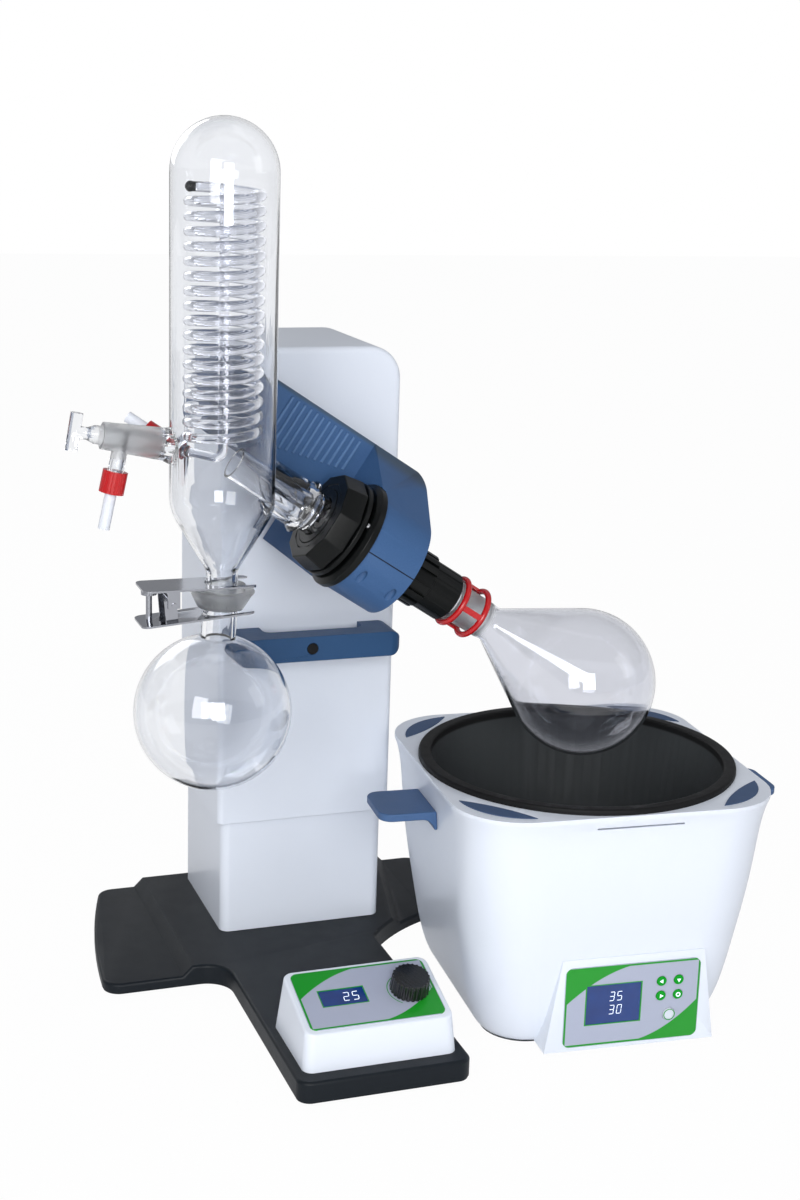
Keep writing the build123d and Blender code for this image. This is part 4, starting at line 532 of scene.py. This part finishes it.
@cache
def digit_white():
    """Lit segments of the displays, and the white signs on keys and knob, which glow with them as a painted
    glow, though the signs are printed and unlit.
    """
    finish = Finish("digit_white")
    finish.set(
        Base_Color=finish.mix(finish.noise(900.0), rgb(210, 222, 240), rgb(238, 244, 250)),
        Emission_Color=(0.8, 0.88, 1.0, 1), Emission_Strength=0.7, Roughness=0.4,
    )
    return finish


def head_plastic():
    """The head's blue moulding, with painted shade darkening its upper side, painted light brightening its
    ribbed front face, and a seam line.
    """
    finish = grained("head_blue", rgb(66, 104, 158), rough=0.46, grain=1300.0, depth=0.0001)
    up = finish.along(FLASK_CENTRE, ABOVE)
    forward = finish.along(FLASK_CENTRE, (0, -1, 0))
    along = finish.along(FLASK_CENTRE, ALONG)
    # Painted light: the ribbed front face is painted lighter, as if lit by the lamps ahead
    painted_light_ribs = forward.above(RIB_FACE, soft=0.0003).least(forward.below(RIB_END))
    painted_light_ribs = painted_light_ribs.least(along.above(RIBS_FROM))
    # Painted shade: the upper side is painted darker, as if turned away from the lamps
    painted_shade_top = (up + PAINTED_SHADE_SLOPE * forward).above(PAINTED_SHADE_LEVEL, soft=0.0015)
    speckle = finish.noise(1300.0, detail=3.0)
    body = finish.mix(speckle, rgb(50, 80, 121), rgb(62, 94, 136))
    # Light blue of the painted light on the ribbed face
    body = finish.mix(painted_light_ribs, body, rgb(84, 115, 156))
    # Dark grey-blue of the painted shade on the upper side
    body = finish.mix(painted_shade_top, body, rgb(60, 78, 98))
    seam = abs(up - SEAM_LEVEL).below(SEAM_HALF)
    finish.set(Base_Color=finish.mix(seam, body, rgb(18, 24, 36)))
    return finish


def basin_coat():
    """Black non-stick coat: a near-black rim and a dark grey, fine-grained bowl."""
    finish = grained("basin_coat", rgb(14, 15, 15), rough=0.42, grain=1800.0, depth=0.00006)
    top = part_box("bath_basin")[1].z
    rim = finish.along((0, 0, top), UPWARD).above(-RIM_DEPTH, soft=RIM_FADE)
    worn = finish.noise(70.0, detail=4.0)
    finish.set(
        Base_Color=finish.mix(rim, rgb(58, 61, 63), finish.mix(worn, rgb(10, 11, 12), rgb(22, 22, 23))),
        Roughness=0.46 + 0.2 * worn,
    )
    return finish


# Sizes and colours

class EvaporatorColours(bpy.types.PropertyGroup):
    """Colours of the evaporator's finishes."""

    white: bpy.props.FloatVectorProperty(
        name="White paint", description="Column, control box and bath", subtype="COLOR", size=4,
        default=rgb(224, 230, 240), min=0, max=1,
    )
    charcoal: bpy.props.FloatVectorProperty(
        name="Charcoal", description="Base moulding", subtype="COLOR", size=4,
        default=rgb(17, 23, 29), min=0, max=1,
    )
    handle: bpy.props.FloatVectorProperty(
        name="Handle blue", description="Lift handle", subtype="COLOR", size=4,
        default=rgb(44, 76, 114), min=0, max=1,
    )
    bath_handle: bpy.props.FloatVectorProperty(
        name="Bath handle blue", description="Side handles of the bath", subtype="COLOR", size=4,
        default=rgb(66, 94, 134), min=0, max=1,
    )
    pad: bpy.props.FloatVectorProperty(
        name="Pad blue", description="Corner pads of the bath", subtype="COLOR", size=4,
        default=rgb(66, 86, 118), min=0, max=1,
    )
    red: bpy.props.FloatVectorProperty(
        name="Red", description="Flask clip and hose caps", subtype="COLOR", size=4,
        default=rgb(180, 10, 16), min=0, max=1,
    )
    key: bpy.props.FloatVectorProperty(
        name="Key green", description="Keys of the bath", subtype="COLOR", size=4,
        default=rgb(0, 146, 30), min=0, max=1,
    )


class EvaporatorSizes(bpy.types.PropertyGroup):
    """Sizes of the fine pieces."""

    edge: bpy.props.FloatProperty(
        name="Housing edge", description="Rounding of the housings' and the flange's edges",
        subtype="DISTANCE", unit="LENGTH", default=0.0006, min=0, max=0.003,
    )
    glass_steps: bpy.props.IntProperty(
        name="Glass steps", description="Steps round each turned glass piece", default=128, min=24, max=256,
    )
    screw: bpy.props.FloatProperty(
        name="Flange screw", description="Radius of the flange's screw heads", subtype="DISTANCE",
        unit="LENGTH", default=0.0026, min=0.001, max=0.004,
    )


def colours():
    return bpy.context.scene.evaporator_colours


def sizes():
    return bpy.context.scene.evaporator_sizes


# Fine pieces

SEGMENTS = {
    "0": "abcdef", "1": "bc", "2": "abged", "3": "abgcd", "4": "fgbc",
    "5": "afgcd", "6": "afgedc", "7": "abc", "8": "abcdefg", "9": "abcfgd",
}
DIGIT_WIDTH, DIGIT_STEP, DIGIT_REACH, DIGIT_BAR = 0.46, 0.8, 0.42, 0.07
DIGIT_RAISED = 0.0001
DIGIT_SLANT = Matrix(((1, 0.1, 0, 0), (0, 1, 0, 0), (0, 0, 1, 0), (0, 0, 0, 1)))
BARS = {
    "a": (0, 1, True), "b": (0.5, 0.5, False), "c": (0.5, -0.5, False), "d": (0, -1, True),
    "e": (-0.5, -0.5, False), "f": (-0.5, 0.5, False), "g": (0, 0, True),
}


def plane_at(origin, across, up):
    """A frame on a surface: X across, Y up, Z out of it."""
    matrix = Matrix((across, up, across.cross(up))).transposed().to_4x4()
    matrix.translation = origin
    return matrix


def raise_faces(bm, faces, height):
    """Extrudes faces by a height along Z."""
    raised = bmesh.ops.extrude_face_region(bm, geom=faces)["geom"]
    corners = [item for item in raised if isinstance(item, bmesh.types.BMVert)]
    bmesh.ops.translate(bm, vec=(0, 0, height), verts=corners)


def bar(bm, centre, long, wide, height, level=True):
    """A flat bar with pointed ends, as a display's segment, lying across or upright."""
    made = bmesh.ops.create_circle(bm, cap_ends=True, segments=6, radius=wide / 2)["verts"]
    for vert in made:
        vert.co.y += (long - wide) / 2 * (1 if vert.co.y > 0 else -1)
    turn = Matrix.Rotation(pi / 2, 4, "Z") if level else Matrix()
    bmesh.ops.transform(bm, matrix=Matrix.Translation(centre) @ turn, verts=made)
    raise_faces(bm, list(made[0].link_faces), height)


def digits(text, height, matrix):
    """Numbers of a seven-segment display, slightly slanted, centred on a frame."""
    bm = bmesh.new()
    for index, sign in enumerate(text):
        middle = (index - (len(text) - 1) / 2) * DIGIT_STEP
        for segment in SEGMENTS[sign]:
            x, y, level = BARS[segment]
            place = (middle + x * DIGIT_WIDTH, y * (1 - DIGIT_BAR) / 2, 0)
            bar(bm, place, DIGIT_REACH, DIGIT_BAR, DIGIT_RAISED / height, level=level)
    bmesh.ops.recalc_face_normals(bm, faces=bm.faces)
    bm.transform(matrix @ Matrix.Scale(height, 4) @ DIGIT_SLANT)
    return bm


def flange_screw(radius, matrix):
    """The round head of a screw with its recess, standing on a frame."""
    high = FLANGE_SCREW_HIGH
    bm = bmesh.new()
    bmesh.ops.create_cone(
        bm, cap_ends=True, segments=24, radius1=radius, radius2=0.92 * radius, depth=high,
        matrix=Matrix.Translation((0, 0, high / 2)),
    )
    top = max(bm.faces, key=lambda face: face.calc_center_median().z)
    bmesh.ops.inset_region(bm, faces=[top], thickness=0.45 * radius, depth=0)
    bmesh.ops.translate(bm, vec=(0, 0, -high / 2), verts=top.verts)
    bmesh.ops.recalc_face_normals(bm, faces=bm.faces)
    bm.transform(matrix)
    return bm


def flat_shape(sides, radius, thick, matrix, hole=0.0, turn=0.0):
    """A flat regular shape with an optional hole, raised a little from a frame."""
    bm = bmesh.new()
    bmesh.ops.create_circle(bm, cap_ends=not hole, segments=sides, radius=radius)
    if hole:
        bmesh.ops.create_circle(bm, cap_ends=False, segments=sides, radius=hole)
        bmesh.ops.bridge_loops(bm, edges=bm.edges)
    raise_faces(bm, list(bm.faces), thick)
    bmesh.ops.recalc_face_normals(bm, faces=bm.faces)
    bm.transform(matrix @ Matrix.Rotation(turn, 4, "Z"))
    return bm


# Floor, light and camera

def lay_floor(scene):
    """A pale floor that the camera and the glass see as white, and that keeps the shadow."""
    finish = Finish("floor_pale")
    finish.set(Base_Color=(0.86, 0.86, 0.87, 1), Roughness=0.75)
    lit = Value(finish, finish.shader.outputs[0])
    glow = finish.node("ShaderNodeEmission", None, {"Color": WHITE, "Strength": 1.0})
    seen, *others = [share * finish.ray(kind) for kind, share in FLOOR_SEEN.items()]
    for other in others:
        seen = seen.most(other)
    finish.blend(seen, lit, glow, "Material Output")
    bm = bmesh.new()
    bmesh.ops.create_grid(bm, x_segments=2, y_segments=2, size=FLOOR_HALF)
    mesh = bpy.data.meshes.new("floor")
    bm.to_mesh(mesh)
    bm.free()
    mesh.materials.append(finish.material)
    floor = bpy.data.objects.new("floor", mesh)
    scene.collection.objects.link(floor)


def light_room(scene):
    """A dim room, which the camera sees as white, and so does the glass towards the back."""
    world = bpy.data.worlds.new("studio")
    scene.world = world
    world.use_nodes = True
    sky = Nodes(world.node_tree)
    white = sky.node("ShaderNodeBackground", None, {"Color": WHITE, "Strength": 1.0})
    room = sky.node("ShaderNodeBackground", None, {"Color": ROOM_COLOUR, "Strength": ROOM_STRENGTH})
    ahead = sky.node(
        "ShaderNodeVectorMath", {"operation": "DOT_PRODUCT"},
        {0: sky.node("ShaderNodeTexCoord"), 1: tuple(VIEW)}, output=1,
    )
    bright = BRIGHT_LEAST + (1 - BRIGHT_LEAST) * ahead.above(BRIGHT_AHEAD, soft=BRIGHT_SOFT)
    through = sky.ray("Transmission") * bright
    sky.blend(sky.ray("Camera").most(through), room, white, "World Output")


def hang_lamps(scene):
    for name, place, aim, size, power in LAMPS:
        lamp = bpy.data.lights.new(name, "AREA")
        lamp.shape = "RECTANGLE"
        lamp.size, lamp.size_y = size
        lamp.energy = power
        hung = bpy.data.objects.new(name, lamp)
        hung.location = place
        hung.rotation_euler = (Vector(aim) - Vector(place)).to_track_quat("-Z", "Y").to_euler()
        scene.collection.objects.link(hung)


def place_camera(scene):
    """The photograph's view."""
    level = VIEW.cross(UPWARD).normalized()
    upward = level.cross(VIEW)
    right = cos(VIEW_ROLL) * level + sin(VIEW_ROLL) * upward
    upward = cos(VIEW_ROLL) * upward - sin(VIEW_ROLL) * level
    turn = Matrix((right, upward, -VIEW)).transposed().to_4x4()
    camera = bpy.data.cameras.new("camera")
    camera.lens = VIEW_LENS
    camera.sensor_width = VIEW_SENSOR
    placed = bpy.data.objects.new("camera", camera)
    placed.matrix_world = Matrix.Translation(VIEW_FROM) @ turn
    scene.collection.objects.link(placed)
    scene.camera = placed


# Operators

class EVAPORATOR_OT_stage(bpy.types.Operator):
    """Set up the floor, the lamps, the pale background and the camera"""
    bl_idname = "evaporator.stage"
    bl_label = "Stage"

    def execute(self, context):
        context.scene.view_settings.view_transform = "Standard"
        lay_floor(context.scene)
        light_room(context.scene)
        hang_lamps(context.scene)
        place_camera(context.scene)
        return {"FINISHED"}


class EVAPORATOR_OT_base(bpy.types.Operator):
    """Dress the base moulding with its plate and feet"""
    bl_idname = "evaporator.base"
    bl_label = "Base"

    def execute(self, context):
        colour = tuple(colours().charcoal)
        charcoal = grained("base_charcoal", colour, rough=0.42, grain=1500.0, depth=0.00009)
        dress("base_housing", charcoal, bevel=sizes().edge)
        finish_node("base_bottom_plate", charcoal)
        finish_node("base_feet", grained("foot_rubber", rgb(28, 28, 30), rough=0.7, grain=900.0))
        return {"FINISHED"}


class EVAPORATOR_OT_column(bpy.types.Operator):
    """Dress the column's cover and sleeve, and the guide inside them"""
    bl_idname = "evaporator.column"
    bl_label = "Column"

    def execute(self, context):
        white = painted("column_white", tuple(colours().white))
        dress("column_cover", white, bevel=0.0005)
        dress("column_sleeve", white, bevel=0.0005)
        aluminium = metal("guide_aluminium", rgb(196, 198, 202), rough=0.3, streak=(1, 1, 12))
        steel = metal("rod_steel", rgb(188, 190, 194), rough=0.14, streak=(1, 1, 30))
        finish_node("rod_blocks", aluminium)
        finish_node("carriage", aluminium)
        finish_node("guide_rods", steel)
        finish_node("gas_spring_rod", steel)
        finish_node("gas_spring_body", painted("spring_black", rgb(30, 31, 33), rough=0.35))
        finish_node("guide_bushes", metal("bush_brass", rgb(190, 156, 90), rough=0.28, streak=(1, 1, 20)))
        return {"FINISHED"}


class EVAPORATOR_OT_handle(bpy.types.Operator):
    """Dress the lift handle with its lock button"""
    bl_idname = "evaporator.handle"
    bl_label = "Lift handle"

    def execute(self, context):
        blue = grained("lift_handle_blue", tuple(colours().handle), rough=0.4, grain=1500.0, depth=0.00007)
        dress("lift_handle", blue, bevel=0.0012, parts=3)
        dress("lock_button", grained("button_black", rgb(14, 14, 16), rough=0.4), bevel=0.0003)
        finish_node("lock_spring", metal("spring_steel", rgb(180, 182, 186), rough=0.2))
        return {"FINISHED"}


class EVAPORATOR_OT_head(bpy.types.Operator):
    """Dress the drive head's two covers and the drive inside them"""
    bl_idname = "evaporator.head"
    bl_label = "Drive head"

    def execute(self, context):
        blue = head_plastic()
        dress("head_upper_cover", blue, bevel=0.0007)
        dress("head_lower_cover", blue, bevel=0.0007)
        steel = metal("drive_steel", rgb(186, 188, 192), rough=0.22)
        aluminium = metal("drive_aluminium", rgb(194, 196, 200), rough=0.32)
        finish_node("head_screws", steel)
        finish_node("shaft_bearings", steel)
        finish_node("hollow_shaft", steel)
        finish_node("motor_pulley", steel)
        finish_node("shaft_pulley", aluminium)
        finish_node("head_frame", aluminium)
        finish_node("drive_motor", painted("motor_black", rgb(34, 35, 38), rough=0.4))
        finish_node("drive_belt", grained("belt_rubber", rgb(24, 24, 25), rough=0.75))
        return {"FINISHED"}


class EVAPORATOR_OT_coupling(bpy.types.Operator):
    """Dress the condenser's coupling: flange, union nut, ring, seal and flange screws"""
    bl_idname = "evaporator.coupling"
    bl_label = "Coupling"

    def execute(self, context):
        black = grained("coupling_black", rgb(7, 9, 9), rough=0.34, grain=1400.0, depth=0.00005)
        dress("coupling_flange", black, bevel=sizes().edge, sharp=30)
        steps = sizes().glass_steps
        collar = turned(NUT_COLLAR, DRIVE, steps)
        show(collar, "union_nut_collar", black, "union_nut", sharp=30, bevel=0.0005)
        flats = turned(NUT_GRIP, DRIVE, NUT_FLATS)
        show(
            flats, "union_nut_grip", black, "union_nut", replaced=("union_nut",),
            sharp=20, bevel=0.0012, parts=3,
        )
        finish_node("union_nut", black)
        dress("retaining_ring", black, bevel=0.0004, sharp=30)
        finish_node("shaft_seal", grained("seal_white", rgb(226, 226, 222), rough=0.5, grain=700.0))
        chrome = metal("screw_chrome", rgb(214, 215, 218), rough=0.12)
        for index, angle in enumerate(FLANGE_SCREW_ANGLES):
            side = FLANGE_SCREW_CIRCLE * cos(radians(angle))
            up = FLANGE_SCREW_CIRCLE * sin(radians(angle))
            place = DRIVE @ Matrix.Translation((FLANGE_FACE, -side, up)) @ Matrix.Rotation(pi / 2, 4, "Y")
            screw = flange_screw(sizes().screw, place)
            show(screw, f"flange_screw_{index}", chrome, "lift")
        return {"FINISHED"}


class EVAPORATOR_OT_flask(bpy.types.Operator):
    """Make the evaporating flask, and dress its vapour duct, knob and clip"""
    bl_idname = "evaporator.flask"
    bl_label = "Evaporating flask"

    def execute(self, context):
        def ground_joint(finish):
            along = finish.along(FLASK_CENTRE, ALONG)
            return along.above(GROUND_FROM, soft=0.003).least(along.below(GROUND_TO))

        # The flask glass is tinted darker than clear glass: painted shade standing in for the darker room
        # it reflects
        glass = glassy("flask_glass", ground_joint, tint=(0.84, 0.85, 0.89, 1.0))
        reach = degrees_to_neck(FLASK_OUTER, NECK_START, NECK_OUTER)
        back = degrees_to_neck(FLASK_INNER, NECK_START, NECK_INNER)
        outline = arc(FLASK_OUTER, 180, reach) + NECK + arc(FLASK_INNER, back, 180)
        flask = turned(outline, DRIVE, sizes().glass_steps)
        finish_node("evaporating_flask", glass)
        show(flask, "flask_blown", glass, "rotor", replaced=("evaporating_flask",), sharp=40)
        dress("vapour_duct", glassy("duct_glass"), sharp=40)
        black = grained("knob_black", rgb(7, 9, 9), rough=0.36, grain=1400.0, depth=0.00006)
        dress("flask_knob", black, bevel=0.0008, sharp=28, parts=3)
        red = painted("clip_red", tuple(colours().red), rough=0.22, peel=500.0)
        dress("flask_clip", red, bevel=0.0004, sharp=50)
        return {"FINISHED"}


class EVAPORATOR_OT_condenser(bpy.types.Operator):
    """Dress the condenser's jacket and coil, its stopcock, caps and nozzles"""
    bl_idname = "evaporator.condenser"
    bl_label = "Condenser"

    def execute(self, context):
        barrel = COCK.translation
        out = COCK.col[0].xyz

        def frosted(finish):
            cock = finish.along(barrel, out)
            away = finish.distance(barrel)
            near = (away * away - cock * cock).below(BARREL_RADIUS**2, soft=0.00004)
            ball = finish.along((0, 0, 0), UPWARD).below(BALL_TOP, soft=0.0006)
            return cock.above(BARREL_START, soft=0.004).least(near).most(ball)

        glass = glassy("jacket_glass", frosted)
        dress("condenser_jacket", glass, sharp=42)
        low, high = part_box("condenser_coil")
        lead_end = (low.x, (low.y + high.y) / 2, high.z)

        def milky_end(finish):
            return finish.distance(lead_end).below(LEAD_END_RADIUS, soft=0.006)

        def ground_plug(finish):
            return finish.along(barrel, out).below(PLUG_GROUND_TO, soft=0.004)

        # The coil glass is tinted grey: painted shade standing in for the darker room its tubes reflect
        dress("condenser_coil", glassy("coil_glass", milky_end, tint=(0.88, 0.89, 0.93, 1.0)), sharp=60)
        dress("stopcock_plug", glassy("plug_glass", ground_plug), sharp=40)
        red = painted("cap_red", tuple(colours().red), rough=0.24, peel=500.0)
        dress("hose_caps", red, bevel=0.0004, sharp=30)
        white = grained("nozzle_white", rgb(214, 218, 226), rough=0.4, grain=700.0, depth=0.00004)
        dress("hose_nozzles", white, bevel=0.0003, sharp=40)
        return {"FINISHED"}


class EVAPORATOR_OT_receiver(bpy.types.Operator):
    """Dress the receiving flask and the fork clamp that holds it"""
    bl_idname = "evaporator.receiver"
    bl_label = "Receiving flask"

    def execute(self, context):
        def ground_cup(finish):
            return finish.along((0, 0, 0), UPWARD).above(CUP_BOTTOM, soft=0.001)

        dress("receiving_flask", glassy("receiver_glass", ground_cup), sharp=42)
        chrome = metal("clamp_chrome", rgb(158, 160, 166), rough=0.1)
        dress("clamp_upper_fork", chrome, bevel=0.0003, sharp=30)
        dress("clamp_lower_fork", chrome, bevel=0.0003, sharp=30)
        dress("clamp_nut", chrome, bevel=0.0002, sharp=30)
        return {"FINISHED"}


class EVAPORATOR_OT_control_box(bpy.types.Operator):
    """Dress the control box with its plate, display, knob and numbers"""
    bl_idname = "evaporator.control_box"
    bl_label = "Control box"

    def execute(self, context):
        out = Vector(JOINTS["speed_turn"]["axis"]).normalized()
        up = out.cross(ACROSS)
        knob = Vector(JOINTS["speed_turn"]["pos_m"])
        white = painted("box_white", tuple(colours().white), rough=0.3)
        dress("control_box_housing", white, bevel=sizes().edge)
        plate = printed_panel("speed_panel", "control_panel_plate", ACROSS, up, ("control_display",), knob)
        finish_node("control_panel_plate", plate)
        finish_node("control_display", lit_display("speed_display", "control_display", up))
        finish_node("speed_pot", grained("pot_black", rgb(20, 20, 22), rough=0.5))
        black = painted("knob_gloss_black", rgb(16, 17, 18), rough=0.16, peel=500.0)
        dress("speed_knob", black, bevel=0.0005, sharp=30, parts=3)
        low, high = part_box("control_display")
        middle = (low + high) / 2
        middle = middle + out * (SPEED_LIFT - (middle - knob).dot(out)) + ACROSS * SPEED_TO_RIGHT
        number = digits(SPEED_NUMBER, SPEED_DIGIT_HEIGHT, plane_at(middle, ACROSS, up))
        lit = digit_white()
        show(number, "speed_digits", lit, "base")
        pointer = bmesh.new()
        bar(pointer, (0, POINTER_OUT, 0), POINTER_LONG, POINTER_WIDE, POINTER_RAISED, level=False)
        turn = Matrix.Rotation(radians(KNOB_TURNED), 4, "Z")
        pointer.transform(plane_at(knob + out * KNOB_FACE, ACROSS, up) @ turn)
        # The pointer is printed white but given the digits' glow: a painted glow
        show(pointer, "knob_pointer", lit, "speed_knob")
        return {"FINISHED"}


class EVAPORATOR_OT_bath(bpy.types.Operator):
    """Dress the heating bath: housing, basin, pads, handles and what is under them"""
    bl_idname = "evaporator.bath"
    bl_label = "Heating bath"

    def execute(self, context):
        white = painted("bath_white", tuple(colours().white), rough=0.3)
        dress("bath_housing", white, bevel=sizes().edge, flat_joined=False)
        dress("bath_basin", basin_coat(), bevel=0.0003, sharp=35)
        rubber = grained("pad_rubber", tuple(colours().pad), rough=0.55, grain=1200.0)
        dress("bath_pads", rubber, bevel=0.0004)
        blue = grained("bath_handle_blue", tuple(colours().bath_handle), rough=0.42)
        dress("bath_handles", blue, bevel=0.0012, parts=3)
        finish_node("bath_heater", metal("heater_steel", rgb(150, 150, 152), rough=0.4))
        finish_node("bath_bottom_plate", grained("bath_plate_charcoal", rgb(40, 44, 50), rough=0.5))
        return {"FINISHED"}


class EVAPORATOR_OT_bath_panel(bpy.types.Operator):
    """Dress the bath's panel, display and keys, with their numbers and signs"""
    bl_idname = "evaporator.bath_panel"
    bl_label = "Bath panel"

    def execute(self, context):
        into = Vector(JOINTS["key_up_press"]["axis"]).normalized()
        across = into.cross(UPWARD).normalized()
        plate = printed_panel("bath_panel", "bath_panel_plate", across, UPWARD, ("bath_display",))
        finish_node("bath_panel_plate", plate)
        finish_node("bath_display", lit_display("bath_display_blue", "bath_display", UPWARD))
        lit = digit_white()
        low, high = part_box("bath_display")
        middle = (low + high) / 2
        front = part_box("bath_panel_plate")
        plate_middle = (front[0] + front[1]) / 2
        middle = middle - into * (BATH_LIFT + (middle - plate_middle).dot(into))
        for number, level in BATH_NUMBERS:
            place = plane_at(middle + UPWARD * level + across * BATH_TO_RIGHT, across, UPWARD)
            lit_number = digits(number, BATH_DIGIT_HEIGHT, place)
            show(lit_number, f"bath_digits_{number}", lit, "bath")
        for name, (sides, radius, hole, turn) in KEY_SIGNS.items():
            node = "bath_key_" + name
            colour = rgb(206, 212, 222) if name == "menu" else tuple(colours().key)
            rubber = grained(node + "_rubber", colour, rough=0.45, grain=900.0, depth=0.00004)
            dress(node, rubber, bevel=0.0003)
            low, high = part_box(node)
            face = (low + high) / 2 - into * ((high.y - low.y) / 2 + SIGN_LIFT)
            place = plane_at(face, across, UPWARD)
            sign = flat_shape(sides, radius, SIGN_RAISED, place, hole=hole, turn=turn)
            if name == "menu":
                colour = tuple(colours().key)
                green = grained("menu_ring_green", colour, rough=0.45, grain=900.0, depth=0.00004)
                show(sign, "menu_ring", green, node)
            else:
                # The key signs are printed white but given the digits' glow: a painted glow
                show(sign, "sign_" + name, lit, node)
        return {"FINISHED"}


STEPS = (
    EVAPORATOR_OT_stage,
    EVAPORATOR_OT_base,
    EVAPORATOR_OT_column,
    EVAPORATOR_OT_handle,
    EVAPORATOR_OT_head,
    EVAPORATOR_OT_coupling,
    EVAPORATOR_OT_flask,
    EVAPORATOR_OT_condenser,
    EVAPORATOR_OT_receiver,
    EVAPORATOR_OT_control_box,
    EVAPORATOR_OT_bath,
    EVAPORATOR_OT_bath_panel,
)


class EVAPORATOR_PT_panel(bpy.types.Panel):
    """Lists the evaporator's steps and values"""
    bl_idname = "EVAPORATOR_PT_panel"
    bl_label = "Rotary evaporator"
    bl_space_type = "VIEW_3D"
    bl_region_type = "UI"
    bl_category = "Evaporator"

    def draw(self, context):
        for step in STEPS:
            self.layout.operator(step.bl_idname)
        for group in (colours(), sizes()):
            for name in group.__annotations__:
                self.layout.prop(group, name)


CLASSES = (EvaporatorColours, EvaporatorSizes, *STEPS, EVAPORATOR_PT_panel)


def register():
    for item in CLASSES:
        bpy.utils.register_class(item)
    bpy.types.Scene.evaporator_colours = bpy.props.PointerProperty(type=EvaporatorColours)
    bpy.types.Scene.evaporator_sizes = bpy.props.PointerProperty(type=EvaporatorSizes)


def unregister():
    del bpy.types.Scene.evaporator_sizes
    del bpy.types.Scene.evaporator_colours
    for item in reversed(CLASSES):
        bpy.utils.unregister_class(item)


def main():
    register()
    for step in STEPS:
        family, name = step.bl_idname.split(".")
        getattr(getattr(bpy.ops, family), name)()


if __name__ == "__main__":
    main()
